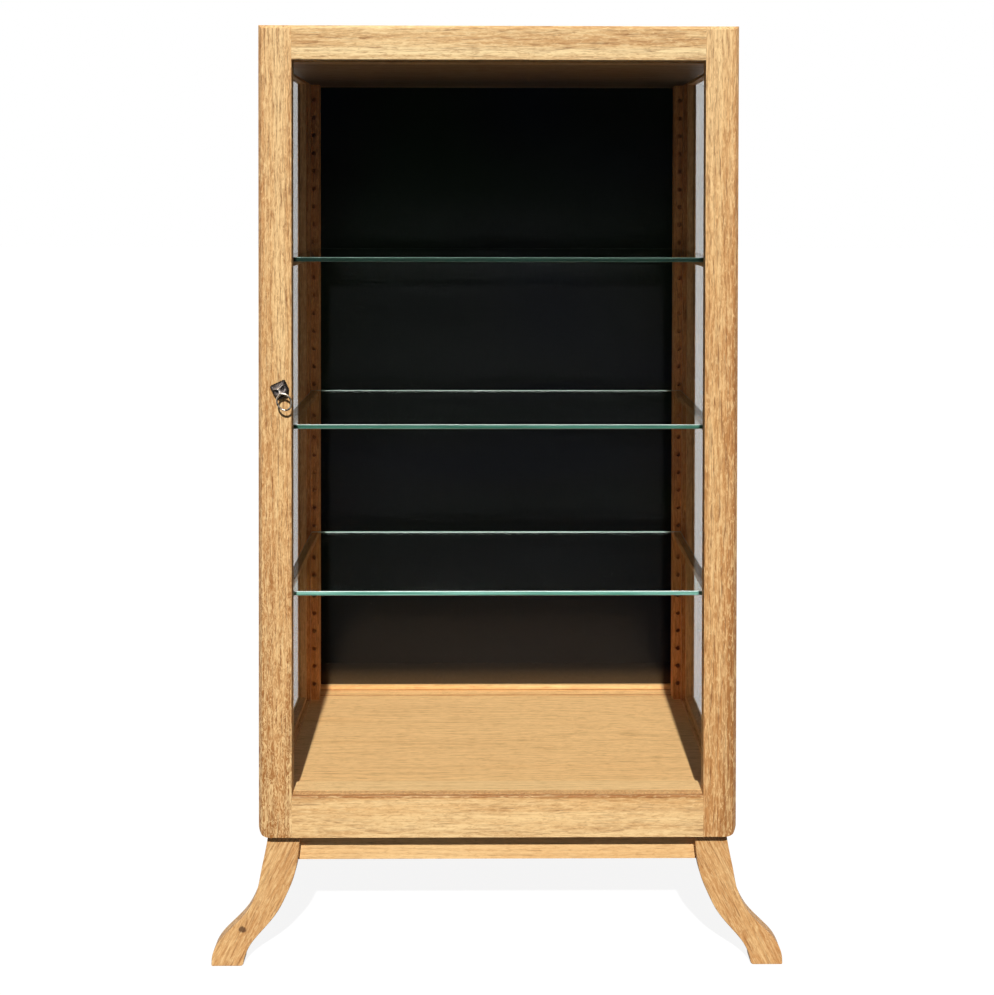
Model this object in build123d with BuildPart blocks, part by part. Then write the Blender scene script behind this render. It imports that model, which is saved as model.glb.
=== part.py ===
from build123d import *
import math
import os

# Display cabinet: an oak case with glass sides, a black back, three glass shelves and
# one glazed door, on a stand with four swept legs.
# Millimetres. +Z is up, the front faces -Y and the soles of the feet stand at Z = 0.
# Depths are counted backwards from the front face of the door.

os.makedirs("parts", exist_ok=True)

# Overall sizes
CASE_WIDTH = 860.0
CASE_HEIGHT = 1460.0
CASE_DEPTH = 487.0
STAND_HEIGHT = 245.0

# Door
DOOR_THICKNESS = 22.0
DOOR_STILE_WIDTH = 60.0
DOOR_TOP_RAIL = 62.0
DOOR_BOTTOM_RAIL = 74.5
DOOR_GAP_BEHIND = 1.0
DOOR_GAP_BELOW = 2.5
DOOR_EDGE_CHAMFER = 6.5
DOOR_CORNER_RADIUS = 20.0
DOOR_ARRIS = 1.5

# Glazing
DOOR_GLASS_THICKNESS = 4.0
DOOR_GLASS_SETBACK = 8.0
DOOR_REBATE = 8.0
SIDE_GLASS_THICKNESS = 3.0
SIDE_REBATE = 9.0
SIDE_LIP = 5.0
SIDE_BEAD_DEPTH = 12.0
GLASS_CLEARANCE = 0.8
MITRE_GAP = 0.2

# Side frames and rails of the case
SIDE_THICKNESS = 28.0
SIDE_FRONT_STILE = 60.0
SIDE_REAR_STILE = 90.0
SIDE_BOTTOM_RAIL = 75.0
TOP_BOARD_THICKNESS = 18.0
TOP_RAIL_HEIGHT = 46.0
FRONT_BOTTOM_RAIL = 77.0
FRONT_RAIL_THICKNESS = 33.0
REAR_RAIL_THICKNESS = 50.0
CASE_ARRIS = 2.0

# Tenons
TENON_THICKNESS = 9.0
TENON_LENGTH = 24.0
CROSS_TENON_LENGTH = 14.4
TENON_SHOULDER = 11.0
RAIL_TENON_SHOULDER = 5.5
DOOR_TENON_SETBACK = 6.0
DOOR_TENON_FOOT = 22.0
DOOR_TENON_HEAD = 16.5
TENON_CLEARANCE = 0.2

# Floor, ceiling and back
FLOOR_THICKNESS = 16.0
FLOOR_DROP = 16.0
FLOOR_FILLET = 8.0
BEARER_SIZE = 16.0
FRONT_BEARER_DEPTH = 32.0
CEILING_THICKNESS = 12.0
CEILING_TONGUE = 6.0
BACK_THICKNESS = 6.0
BACK_REBATE_DEPTH = 9.0
BACK_REBATE_WIDTH = 10.0
PANEL_CLEARANCE = 1.0

# Peg strips, pegs, cleats and shelves
STRIP_THICKNESS = 17.0
STRIP_WIDTH = 28.0
STRIP_FRONT_SETBACK = 3.0
REAR_STRIP_DEPTH = 440.0
PEG_PITCH = 38.4
PEG_ROWS = 34
FIRST_PEG_HEIGHT = 35.3
PEG_DIAMETER = 10.0
PEG_CLEARANCE = 0.05
PEG_FROM_WALL = 6.5
PEG_HOLE_DEPTH = 16.0
PEG_LENGTH = 36.0
CLEAT_THICKNESS = 12.0
CLEAT_WIDTH = 16.0
CLEAT_END_GAP = 1.5
SHELF_THICKNESS = 8.0
SHELF_SIDE_GAP = 2.0
SHELF_END_GAP = 1.5
SHELF_ARRIS = 0.8
SHELF_PEG_ROWS = {"lower": 8, "middle": 16, "upper": 24}

# Stand
LEG_THICKNESS = 28.0
LEG_INSET = 14.0
LEG_TOP_WIDTH = 58.0
LEG_SOLE_WIDTH = 58.0
LEG_SPLAY = 104.0
LEG_TOE_RADIUS = 2.5
LEG_HEEL_RADIUS = 6.0
LEG_ARRIS = 1.5
APRON_HEIGHT = 59.5
APRON_THICKNESS = 18.0
APRON_SETBACK = 18.0
SIDE_APRON_INSET = 2.0
CORNER_BLOCK_SIDE = 60.0
CORNER_BLOCK_HEIGHT = 24.0
CORNER_SCREW_SIDEWAYS = 18.0
CORNER_SCREW_INWARDS = 9.0

# Curves of a leg: height as a share of the stand, outward sweep as a share of the splay
LEG_OUTER_CURVE = ((1.0, 0.0), (0.86, 0.056), (0.7, 0.135), (0.58, 0.192), (0.48, 0.282), (0.4, 0.391),
                   (0.33, 0.534), (0.25, 0.728), (0.18, 0.875), (0.1, 0.971), (0.0, 1.0))
LEG_INNER_CURVE = ((1.0, 0.0), (0.81, 0.048), (0.66, 0.12), (0.53, 0.246), (0.43, 0.364), (0.33, 0.533),
                   (0.24, 0.721), (0.15, 0.886), (0.08, 0.965), (0.0, 1.0))
LEG_OUTER_LEAN = 0.15
LEG_INNER_LEAN = 0.08

# Butt hinges, three on the right-hand edge of the door
HINGE_HEIGHT = 76.0
HINGE_LEAF_WIDTH = 22.0
HINGE_LEAF_THICKNESS = 1.6
HINGE_KNUCKLE_RADIUS = 3.2
HINGE_PIN_RADIUS = 1.6
HINGE_RUNNING_CLEARANCE = 0.05
HINGE_KNUCKLES = 5
HINGE_KNUCKLE_GAP = 0.25
HINGE_SWING_CLEARANCE = 0.4
HINGE_PIN_HEAD = 1.5
HINGE_INSETS = (150.0, 150.0)
HINGE_SCREW_PITCH = 25.0
HINGE_SCREW_FROM_AXIS = 13.0
CUT_OVERRUN = 1.0

# Wood screws, slotted and countersunk
SCREW_SHANK_RADIUS = 1.5
SCREW_HEAD_RADIUS = 2.9
SCREW_SLOT_WIDTH = 0.8
SCREW_SLOT_DEPTH = 0.7
SCREW_TIP = 3.0
SCREW_CLEARANCE = 0.05
HINGE_SCREW_LENGTH = 14.0
CASE_SCREW_LENGTH = 22.0
STAND_SCREW_LENGTH = 40.0
STRIKE_SCREW_LENGTH = 12.0
BACK_SCREWS_PER_SIDE = 5
BACK_SCREWS_PER_RAIL = 3
BACK_SCREW_END_INSET = 60.0
STRIP_SCREWS = 3
STRIP_SCREW_END_INSET = 55.0

# Magnetic catches behind the left-hand stile of the door
MAGNET_RADIUS = 5.0
MAGNET_LENGTH = 13.0
STRIKE_RADIUS = 7.5
STRIKE_THICKNESS = 1.5
CATCH_FROM_EDGE = 14.0
CATCH_INSETS = (330.0, 330.0)
CATCH_CLEARANCE = 0.1

# Lion mask and ring, turned on the one bolt that holds them
PULL_FROM_EDGE = 41.0
PULL_HEIGHT = 1053.0
PULL_TILT = 25.0
MASK_WIDTH = 30.0
MASK_HEIGHT = 31.0
MASK_RIM = 3.0
MASK_CROWN_RADIUS = 3.5
MASK_CHEEK_DROP = 5.0
MASK_CHEEK_RADIUS = 8.0
MASK_JAW_WIDTH = 16.0
MASK_JAW_RADIUS = 5.0
MASK_FACE_WIDTH = 26.0
MASK_FACE_HEIGHT = 28.0
MASK_FACE_PROJECTION = 11.0
FOREHEAD_WIDTH = 22.0
FOREHEAD_HEIGHT = 10.0
FOREHEAD_PROJECTION = 11.0
FOREHEAD_RISE = 9.5
MUZZLE_DROP = 5.5
MUZZLE_WIDTH = 16.0
MUZZLE_HEIGHT = 13.0
MUZZLE_PROJECTION = 22.0
NOSE_WIDTH = 7.5
NOSE_LENGTH = 19.0
NOSE_PROJECTION = 20.0
NOSE_RISE = 0.5
BROW_LENGTH = 11.0
BROW_HEIGHT = 5.5
BROW_PROJECTION = 14.0
BROW_SPREAD = 6.0
BROW_RISE = 6.0
EAR_WIDTH = 6.5
EAR_HEIGHT = 6.0
EAR_PROJECTION = 8.0
EAR_SPREAD = 11.5
EAR_RISE = 12.0
RING_STANDOFF = 16.5
RING_HALF_WIDTH = 12.2
RING_HALF_HEIGHT = 15.0
RING_WIRE_RADIUS = 1.6
MOUTH_CLEARANCE = 0.6
BOLT_RADIUS = 2.0
BOLT_LENGTH = 24.0
BOLT_IN_MASK = 3.0
NUT_ACROSS_FLATS = 7.0
NUT_THICKNESS = 4.2
NUT_FLANGE_RADIUS = 5.0
NUT_FLANGE_THICKNESS = 1.0
NUT_RECESS_DEPTH = 6.0
NUT_RECESS_RADIUS = 6.5
BOLT_CLEARANCE = 0.1

# Depths and heights that follow
CASE_FRONT = DOOR_THICKNESS + DOOR_GAP_BEHIND
CASE_BACK = CASE_FRONT + CASE_DEPTH
DOOR_FACE_Y = (MUZZLE_PROJECTION - CASE_BACK) / 2
HALF_WIDTH = CASE_WIDTH / 2
INNER_HALF_WIDTH = HALF_WIDTH - SIDE_THICKNESS
TOP_Z = STAND_HEIGHT + CASE_HEIGHT
FRAME_TOP = TOP_Z - TOP_BOARD_THICKNESS
CEILING_Z = FRAME_TOP - TOP_RAIL_HEIGHT
LIP_Z = STAND_HEIGHT + FRONT_BOTTOM_RAIL
FLOOR_Z = LIP_Z - FLOOR_DROP
FLOOR_UNDERSIDE = FLOOR_Z - FLOOR_THICKNESS
SIDE_SILL = STAND_HEIGHT + SIDE_BOTTOM_RAIL
FRONT_RAIL_BACK = CASE_FRONT + FRONT_RAIL_THICKNESS
REAR_RAIL_FRONT = CASE_BACK - REAR_RAIL_THICKNESS
BACK_PANEL_FRONT = CASE_BACK - BACK_REBATE_DEPTH
BACK_PANEL_BACK = BACK_PANEL_FRONT + BACK_THICKNESS
SIDE_OPENING = (CASE_FRONT + SIDE_FRONT_STILE, CASE_BACK - SIDE_REAR_STILE)
DOOR_BOTTOM = STAND_HEIGHT + DOOR_GAP_BELOW
DOOR_OPENING_X = HALF_WIDTH - DOOR_STILE_WIDTH
DOOR_OPENING_Z = (DOOR_BOTTOM + DOOR_BOTTOM_RAIL, TOP_Z - DOOR_TOP_RAIL)
FRONT_STRIP = (CASE_FRONT + STRIP_FRONT_SETBACK, CASE_FRONT + STRIP_FRONT_SETBACK + STRIP_WIDTH)
REAR_STRIP = (REAR_STRIP_DEPTH, REAR_STRIP_DEPTH + STRIP_WIDTH)
PEG_X = INNER_HALF_WIDTH - PEG_FROM_WALL
HINGE_DEPTH = DOOR_THICKNESS + DOOR_GAP_BEHIND / 2
HINGE_CENTRES = (
    DOOR_BOTTOM + HINGE_INSETS[0],
    (DOOR_BOTTOM + HINGE_INSETS[0] + TOP_Z - HINGE_INSETS[1]) / 2,
    TOP_Z - HINGE_INSETS[1],
)
CATCH_CENTRES = (DOOR_BOTTOM + CATCH_INSETS[0], TOP_Z - CATCH_INSETS[1])
CATCH_X = -(HALF_WIDTH - CATCH_FROM_EDGE)
PULL_X = -(HALF_WIDTH - PULL_FROM_EDGE)


def at_depth(depth):
    """World Y of a depth behind the door's front face."""
    return DOOR_FACE_Y + depth


def mirrored(sign, low, high):
    """The X span from low to high, on the left for sign -1 and on the right for sign +1."""
    return (min(sign * low, sign * high), max(sign * low, sign * high))


def block(x, depth, z, mode=Mode.ADD):
    """A rectangular block in the current part, from its low and high X, depth and Z."""
    centre = ((x[0] + x[1]) / 2, at_depth((depth[0] + depth[1]) / 2), (z[0] + z[1]) / 2)
    with Locations(centre):
        Box(x[1] - x[0], depth[1] - depth[0], z[1] - z[0], mode=mode)


def finish(piece, name):
    """Label a finished piece and write its file."""
    piece.part.label = name
    export_step(piece.part, f"parts/{name}.step")


def wood_screw(length):
    """A slotted countersunk screw: head at the origin, shank down -Z."""
    head_height = SCREW_HEAD_RADIUS - SCREW_SHANK_RADIUS
    with BuildPart() as screw:
        with BuildSketch(Plane.XZ):
            with BuildLine():
                Polyline(
                    (0, 0),
                    (SCREW_HEAD_RADIUS, 0),
                    (SCREW_SHANK_RADIUS, -head_height),
                    (SCREW_SHANK_RADIUS, -length + SCREW_TIP),
                    (0, -length),
                    close=True,
                )
            make_face()
        revolve(axis=Axis.Z)
        Box(2 * SCREW_HEAD_RADIUS + CUT_OVERRUN, SCREW_SLOT_WIDTH, 2 * SCREW_SLOT_DEPTH, mode=Mode.SUBTRACT)
    return screw.part


def screw_hole(length):
    """The hole that a wood screw of this length fills, with its countersink."""
    shank = SCREW_SHANK_RADIUS + SCREW_CLEARANCE
    head = SCREW_HEAD_RADIUS + SCREW_CLEARANCE
    with BuildPart() as hole:
        with BuildSketch(Plane.XZ):
            with BuildLine():
                Polyline((0, 0), (head, 0), (shank, shank - head), (shank, -length), (0, -length), close=True)
            make_face()
        revolve(axis=Axis.Z)
    return hole.part


# Turns of a screw: its head faces the front, the back, one side or the ground
HEAD_FORWARD = (90, 0, 0)
HEAD_BACKWARD = (-90, 0, 0)
HEAD_INWARD = {-1: (0, 90, 0), 1: (0, -90, 0)}
HEAD_DOWN = (180, 0, 0)


def evenly(low, high, count):
    """Count places spread evenly from low to high."""
    return [low + (high - low) * i / (count - 1) for i in range(count)]


# Places of the screws
hinge_screw_rows = [z + step * HINGE_SCREW_PITCH for z in HINGE_CENTRES for step in (-1, 0, 1)]
hinge_screw_x = HALF_WIDTH - HINGE_SCREW_FROM_AXIS
case_hinge_screws = [
    Location((hinge_screw_x, at_depth(CASE_FRONT), z), HEAD_FORWARD) for z in hinge_screw_rows
]
door_hinge_screws = [
    Location((hinge_screw_x, at_depth(DOOR_THICKNESS), z), HEAD_BACKWARD) for z in hinge_screw_rows
]
back_shoulder_x = INNER_HALF_WIDTH + BACK_REBATE_WIDTH / 2
back_top_row = CEILING_Z + BACK_REBATE_WIDTH / 2
back_bottom_row = FLOOR_UNDERSIDE - BACK_REBATE_WIDTH / 2
back_side_rows = evenly(
    back_bottom_row + BACK_SCREW_END_INSET, back_top_row - BACK_SCREW_END_INSET, BACK_SCREWS_PER_SIDE
)
back_rail_places = evenly(
    -INNER_HALF_WIDTH + BACK_SCREW_END_INSET, INNER_HALF_WIDTH - BACK_SCREW_END_INSET, BACK_SCREWS_PER_RAIL
)
back_screws = [
    Location((sign * back_shoulder_x, at_depth(BACK_PANEL_BACK), z), HEAD_BACKWARD)
    for sign in (-1, 1)
    for z in back_side_rows
] + [
    Location((x, at_depth(BACK_PANEL_BACK), z), HEAD_BACKWARD)
    for x in back_rail_places
    for z in (back_top_row, back_bottom_row)
]
STRIPS = {"front": (FRONT_STRIP, LIP_Z, 1), "rear": (REAR_STRIP, FLOOR_Z, -1)}


def peg_depth(place):
    """Depth of the strip's edge that its pegs stand out of."""
    low, high = STRIPS[place][0]
    return high if place == "front" else low


def strip_screws(place, sign):
    """Screws of one peg strip, kept clear of its peg holes."""
    depth, bottom, facing = STRIPS[place]
    blind_edge = depth[0] if place == "front" else depth[1]
    screw_depth = blind_edge + facing * (STRIP_WIDTH - PEG_HOLE_DEPTH) / 2
    rows = evenly(bottom + STRIP_SCREW_END_INSET, CEILING_Z - STRIP_SCREW_END_INSET, STRIP_SCREWS)
    x = sign * (INNER_HALF_WIDTH - STRIP_THICKNESS)
    return [Location((x, at_depth(screw_depth), z), HEAD_INWARD[sign]) for z in rows]


all_strip_screws = [place for where in STRIPS for sign in (-1, 1) for place in strip_screws(where, sign)]
LEG_DEPTHS = {
    "front": (CASE_FRONT, CASE_FRONT + LEG_THICKNESS),
    "rear": (CASE_BACK - LEG_THICKNESS, CASE_BACK),
}
APRON_DEPTHS = {
    "front": (CASE_FRONT + APRON_SETBACK, CASE_FRONT + APRON_SETBACK + APRON_THICKNESS),
    "rear": (CASE_BACK - APRON_SETBACK - APRON_THICKNESS, CASE_BACK - APRON_SETBACK),
}
SIDE_APRON_X = HALF_WIDTH - LEG_INSET - SIDE_APRON_INSET - APRON_THICKNESS
BLOCK_CORNERS = ((APRON_DEPTHS["front"][1], 1), (APRON_DEPTHS["rear"][0], -1))
stand_screw_x = SIDE_APRON_X - CORNER_SCREW_SIDEWAYS
stand_screw_z = STAND_HEIGHT - CORNER_BLOCK_HEIGHT
stand_screws = [
    Location((sign * stand_screw_x, at_depth(corner + inward * CORNER_SCREW_INWARDS), stand_screw_z), HEAD_DOWN)
    for sign in (-1, 1)
    for corner, inward in BLOCK_CORNERS
]
strike_screws = [Location((CATCH_X, at_depth(DOOR_THICKNESS), z), HEAD_BACKWARD) for z in CATCH_CENTRES]

hinge_screw_hole = screw_hole(HINGE_SCREW_LENGTH)
case_screw_hole = screw_hole(CASE_SCREW_LENGTH)
stand_screw_hole = screw_hole(STAND_SCREW_LENGTH)
strike_screw_hole = screw_hole(STRIKE_SCREW_LENGTH)


def cut_screws(places, hole):
    """Cut the same screw hole at each place."""
    with Locations(*places):
        add(hole, mode=Mode.SUBTRACT)


def cut_hinge_recesses(leaf_depth):
    """Recesses for the hinge leaves and their knuckles, with the leaf from this depth."""
    for z in HINGE_CENTRES:
        block(
            (HALF_WIDTH - HINGE_LEAF_WIDTH, HALF_WIDTH),
            (leaf_depth, leaf_depth + HINGE_LEAF_THICKNESS),
            (z - HINGE_HEIGHT / 2, z + HINGE_HEIGHT / 2),
            mode=Mode.SUBTRACT,
        )
        with Locations((HALF_WIDTH, at_depth(HINGE_DEPTH), z)):
            Cylinder(
                HINGE_KNUCKLE_RADIUS + HINGE_SWING_CLEARANCE,
                HINGE_HEIGHT + 2 * (HINGE_PIN_HEAD + HINGE_SWING_CLEARANCE),
                mode=Mode.SUBTRACT,
            )


# Legs

def leg_outline(sign):
    """Outline of a leg in the XZ plane, standing on Z = 0 and sweeping outwards."""
    top_outer = HALF_WIDTH - LEG_INSET
    top_inner = top_outer - LEG_TOP_WIDTH
    heel_shift = (top_outer + LEG_SPLAY) - LEG_SOLE_WIDTH - top_inner
    outer = [
        (sign * (top_outer + LEG_SPLAY * sweep), STAND_HEIGHT * rise) for rise, sweep in LEG_OUTER_CURVE
    ]
    inner = [
        (sign * (top_inner + heel_shift * sweep), STAND_HEIGHT * rise) for rise, sweep in LEG_INNER_CURVE
    ]
    with BuildSketch(Plane.XZ) as outline:
        with BuildLine():
            Spline(*outer, tangents=((sign * LEG_OUTER_LEAN, -1), (0, -1)))
            Line(outer[-1], inner[-1])
            Spline(*inner, tangents=((sign * LEG_INNER_LEAN, -1), (sign * LEG_INNER_LEAN, -1)))
            Line(inner[0], outer[0])
        make_face()
        sole = outline.vertices().group_by(Axis.Y)[0].sort_by(Axis.X)
        fillet(sole[-1] if sign < 0 else sole[0], radius=LEG_HEEL_RADIUS)
        toe = outline.vertices().group_by(Axis.Y)[0].sort_by(Axis.X)
        fillet(toe[0] if sign < 0 else toe[-1], radius=LEG_TOE_RADIUS)
    return outline.sketch_local


leg_outlines = {sign: leg_outline(sign) for sign in (-1, 1)}
SIDES = (("left", -1), ("right", 1))

for place, leg_depth in LEG_DEPTHS.items():
    for side, sign in SIDES:
        with BuildPart() as leg:
            with BuildSketch(Plane.XZ.offset(-at_depth(leg_depth[1]))):
                add(leg_outlines[sign])
            extrude(amount=LEG_THICKNESS)
            board_faces = leg.faces().sort_by(Axis.Y)
            arrises = board_faces[0].edges() + board_faces[-1].edges()
            fillet(arrises.filter_by(Axis.X, reverse=True), radius=LEG_ARRIS)
        finish(leg, f"leg_{place}_{side}")

# Aprons, corner blocks and their screws

APRON_Z = (STAND_HEIGHT - APRON_HEIGHT, STAND_HEIGHT)

for place, apron_depth in APRON_DEPTHS.items():
    reach = HALF_WIDTH - LEG_INSET - LEG_TOP_WIDTH / 2
    with BuildPart() as apron:
        block((-reach, reach), apron_depth, APRON_Z)
        with BuildSketch(Plane.XZ.offset(-at_depth(apron_depth[1]))):
            for sign in (-1, 1):
                add(leg_outlines[sign])
        extrude(amount=APRON_THICKNESS, mode=Mode.SUBTRACT)
    finish(apron, f"apron_{place}")

for side, sign in SIDES:
    with BuildPart() as apron:
        block(
            mirrored(sign, SIDE_APRON_X, SIDE_APRON_X + APRON_THICKNESS),
            (LEG_DEPTHS["front"][1], LEG_DEPTHS["rear"][0]),
            APRON_Z,
        )
    finish(apron, f"apron_{side}")

with BuildPart() as corner_blocks:
    with BuildSketch(Plane.XY.offset(STAND_HEIGHT - CORNER_BLOCK_HEIGHT)):
        for sign in (-1, 1):
            for corner, inward in BLOCK_CORNERS:
                with BuildLine():
                    Polyline(
                        (sign * SIDE_APRON_X, at_depth(corner)),
                        (sign * (SIDE_APRON_X - CORNER_BLOCK_SIDE), at_depth(corner)),
                        (sign * SIDE_APRON_X, at_depth(corner + inward * CORNER_BLOCK_SIDE)),
                        close=True,
                    )
                make_face()
    extrude(amount=CORNER_BLOCK_HEIGHT)
    cut_screws(stand_screws, stand_screw_hole)
finish(corner_blocks, "stand_corner_blocks")

stand_screw = wood_screw(STAND_SCREW_LENGTH)
with BuildPart() as stand_screw_set:
    with Locations(*stand_screws):
        add(stand_screw)
finish(stand_screw_set, "stand_screws")

# Side frames

SIDE_FRAME_Z = (STAND_HEIGHT, FRAME_TOP)
SIDE_WINDOW_Z = (SIDE_SILL, CEILING_Z)
SIDE_REBATE_Y = (SIDE_OPENING[0] - SIDE_REBATE, SIDE_OPENING[1] + SIDE_REBATE)
SIDE_REBATE_Z = (SIDE_WINDOW_Z[0] - SIDE_REBATE, SIDE_WINDOW_Z[1] + SIDE_REBATE)
SIDE_TENON_X = (INNER_HALF_WIDTH + TENON_SHOULDER, INNER_HALF_WIDTH + TENON_SHOULDER + TENON_THICKNESS)
SIDE_TENON_Z = (
    (STAND_HEIGHT + TENON_SHOULDER, SIDE_REBATE_Z[0] - TENON_SHOULDER),
    (SIDE_REBATE_Z[1] + RAIL_TENON_SHOULDER, FRAME_TOP - RAIL_TENON_SHOULDER),
)
CROSS_TENONS = {
    "front": (CASE_FRONT + TENON_SHOULDER, CASE_FRONT + TENON_SHOULDER + TENON_THICKNESS),
    "rear": (REAR_RAIL_FRONT + TENON_SHOULDER, REAR_RAIL_FRONT + TENON_SHOULDER + TENON_THICKNESS),
}
CROSS_RAIL_Z = {
    "front": ((STAND_HEIGHT, LIP_Z), (CEILING_Z, FRAME_TOP)),
    "rear": ((STAND_HEIGHT, FLOOR_UNDERSIDE), (CEILING_Z, FRAME_TOP)),
}
CROSS_TENON_REACH = INNER_HALF_WIDTH + CROSS_TENON_LENGTH
BACK_REBATE_Z = (FLOOR_UNDERSIDE - BACK_REBATE_WIDTH, CEILING_Z + BACK_REBATE_WIDTH)


def grown(span, by):
    """A span made longer at both ends."""
    return (span[0] - by, span[1] + by)


def tenon_heights(span):
    """Height of a tenon within a rail of this height."""
    return grown(span, -RAIL_TENON_SHOULDER)


def cut_side_rebate(sign):
    """The rebate that the side glass and its beads sit in."""
    block(
        mirrored(sign, INNER_HALF_WIDTH, HALF_WIDTH - SIDE_LIP),
        SIDE_REBATE_Y,
        SIDE_REBATE_Z,
        mode=Mode.SUBTRACT,
    )


def cut_cross_mortises(sign, place):
    """Mortises for the front or rear rails."""
    for rail_z in CROSS_RAIL_Z[place]:
        block(
            mirrored(sign, INNER_HALF_WIDTH, CROSS_TENON_REACH + TENON_CLEARANCE),
            grown(CROSS_TENONS[place], TENON_CLEARANCE),
            grown(tenon_heights(rail_z), TENON_CLEARANCE),
            mode=Mode.SUBTRACT,
        )


def cut_side_mortises(sign, edge, inward):
    """Mortises for the side rails, in the edge of a stile at this depth."""
    deep = sorted((edge, edge + inward * (TENON_LENGTH + TENON_CLEARANCE)))
    for tenon_z in SIDE_TENON_Z:
        block(
            mirrored(sign, *grown(SIDE_TENON_X, TENON_CLEARANCE)),
            deep,
            grown(tenon_z, TENON_CLEARANCE),
            mode=Mode.SUBTRACT,
        )


for side, sign in SIDES:
    across = mirrored(sign, INNER_HALF_WIDTH, HALF_WIDTH)

    with BuildPart() as front_stile:
        block(across, (CASE_FRONT, SIDE_OPENING[0]), SIDE_FRAME_Z)
        cut_side_rebate(sign)
        cut_cross_mortises(sign, "front")
        cut_side_mortises(sign, SIDE_OPENING[0], -1)
        cut_screws(strip_screws("front", sign), case_screw_hole)
        if side == "right":
            cut_hinge_recesses(CASE_FRONT)
            cut_screws(case_hinge_screws, hinge_screw_hole)
        else:
            for z in CATCH_CENTRES:
                with Locations((CATCH_X, at_depth(CASE_FRONT + MAGNET_LENGTH / 2), z)):
                    Cylinder(
                        MAGNET_RADIUS + CATCH_CLEARANCE,
                        MAGNET_LENGTH,
                        rotation=(90, 0, 0),
                        mode=Mode.SUBTRACT,
                    )
    finish(front_stile, f"side_stile_front_{side}")

    with BuildPart() as rear_stile:
        block(across, (SIDE_OPENING[1], CASE_BACK), SIDE_FRAME_Z)
        outer_arris = rear_stile.edges().filter_by(Axis.Z).sort_by(Axis.Y)[-2:].sort_by(Axis.X)
        fillet(outer_arris[0] if sign < 0 else outer_arris[-1], radius=CASE_ARRIS)
        cut_side_rebate(sign)
        cut_cross_mortises(sign, "rear")
        cut_side_mortises(sign, SIDE_OPENING[1], 1)
        block(
            mirrored(sign, INNER_HALF_WIDTH, INNER_HALF_WIDTH + BACK_REBATE_WIDTH),
            (BACK_PANEL_FRONT, CASE_BACK),
            BACK_REBATE_Z,
            mode=Mode.SUBTRACT,
        )
        cut_screws(strip_screws("rear", sign), case_screw_hole)
        cut_screws(back_screws, case_screw_hole)
    finish(rear_stile, f"side_stile_rear_{side}")

    for place, rail_z, tenon_z in (
        ("bottom", (STAND_HEIGHT, SIDE_SILL), SIDE_TENON_Z[0]),
        ("top", (CEILING_Z, FRAME_TOP), SIDE_TENON_Z[1]),
    ):
        with BuildPart() as side_rail:
            block(across, SIDE_OPENING, rail_z)
            cut_side_rebate(sign)
            block(mirrored(sign, *SIDE_TENON_X), grown(SIDE_OPENING, TENON_LENGTH), tenon_z)
        finish(side_rail, f"side_rail_{place}_{side}")

# Glazing beads and panes


def bead_frame(plane, opening, rebate, thickness):
    """Four mitred glazing beads round an opening, drawn on a plane and extruded along its normal."""
    (u0, u1), (v0, v1) = opening
    gap = MITRE_GAP / 2
    low_u, high_u = u0 - rebate, u1 + rebate
    low_v, high_v = v0 - rebate, v1 + rebate
    outlines = (
        ((low_u + gap, low_v), (high_u - gap, low_v), (u1 - gap, v0), (u0 + gap, v0)),
        ((u0 + gap, v1), (u1 - gap, v1), (high_u - gap, high_v), (low_u + gap, high_v)),
        ((low_u, low_v + gap), (u0, v0 + gap), (u0, v1 - gap), (low_u, high_v - gap)),
        ((u1, v0 + gap), (high_u, low_v + gap), (high_u, high_v - gap), (u1, v1 - gap)),
    )
    with BuildPart() as beads:
        with BuildSketch(plane):
            for outline in outlines:
                with BuildLine():
                    Polyline(*outline, close=True)
                make_face()
        extrude(amount=thickness)
    return beads


SIDE_PANE_X = (HALF_WIDTH - SIDE_LIP - SIDE_GLASS_THICKNESS, HALF_WIDTH - SIDE_LIP)
for side, sign in SIDES:
    with BuildPart() as side_glass:
        block(
            mirrored(sign, *SIDE_PANE_X),
            grown(SIDE_REBATE_Y, -GLASS_CLEARANCE),
            grown(SIDE_REBATE_Z, -GLASS_CLEARANCE),
        )
    finish(side_glass, f"side_glass_{side}")

    bead_plane = Plane(origin=(sign * SIDE_PANE_X[0], 0, 0), x_dir=(0, -sign, 0), z_dir=(-sign, 0, 0))
    along = sorted(-sign * at_depth(depth) for depth in SIDE_OPENING)
    side_beads = bead_frame(bead_plane, (along, SIDE_WINDOW_Z), SIDE_REBATE, SIDE_BEAD_DEPTH)
    finish(side_beads, f"side_beads_{side}")

# Front and rear rails of the case

CEILING_TONGUE_Z = (CEILING_Z + CEILING_TONGUE, CEILING_Z + CEILING_THICKNESS)
CROSS_DEPTHS = {"front": (CASE_FRONT, FRONT_RAIL_BACK), "rear": (REAR_RAIL_FRONT, CASE_BACK)}
CEILING_GROOVES = {
    "front": (FRONT_RAIL_BACK - CEILING_TONGUE, FRONT_RAIL_BACK),
    "rear": (REAR_RAIL_FRONT, REAR_RAIL_FRONT + CEILING_TONGUE),
}

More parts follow.
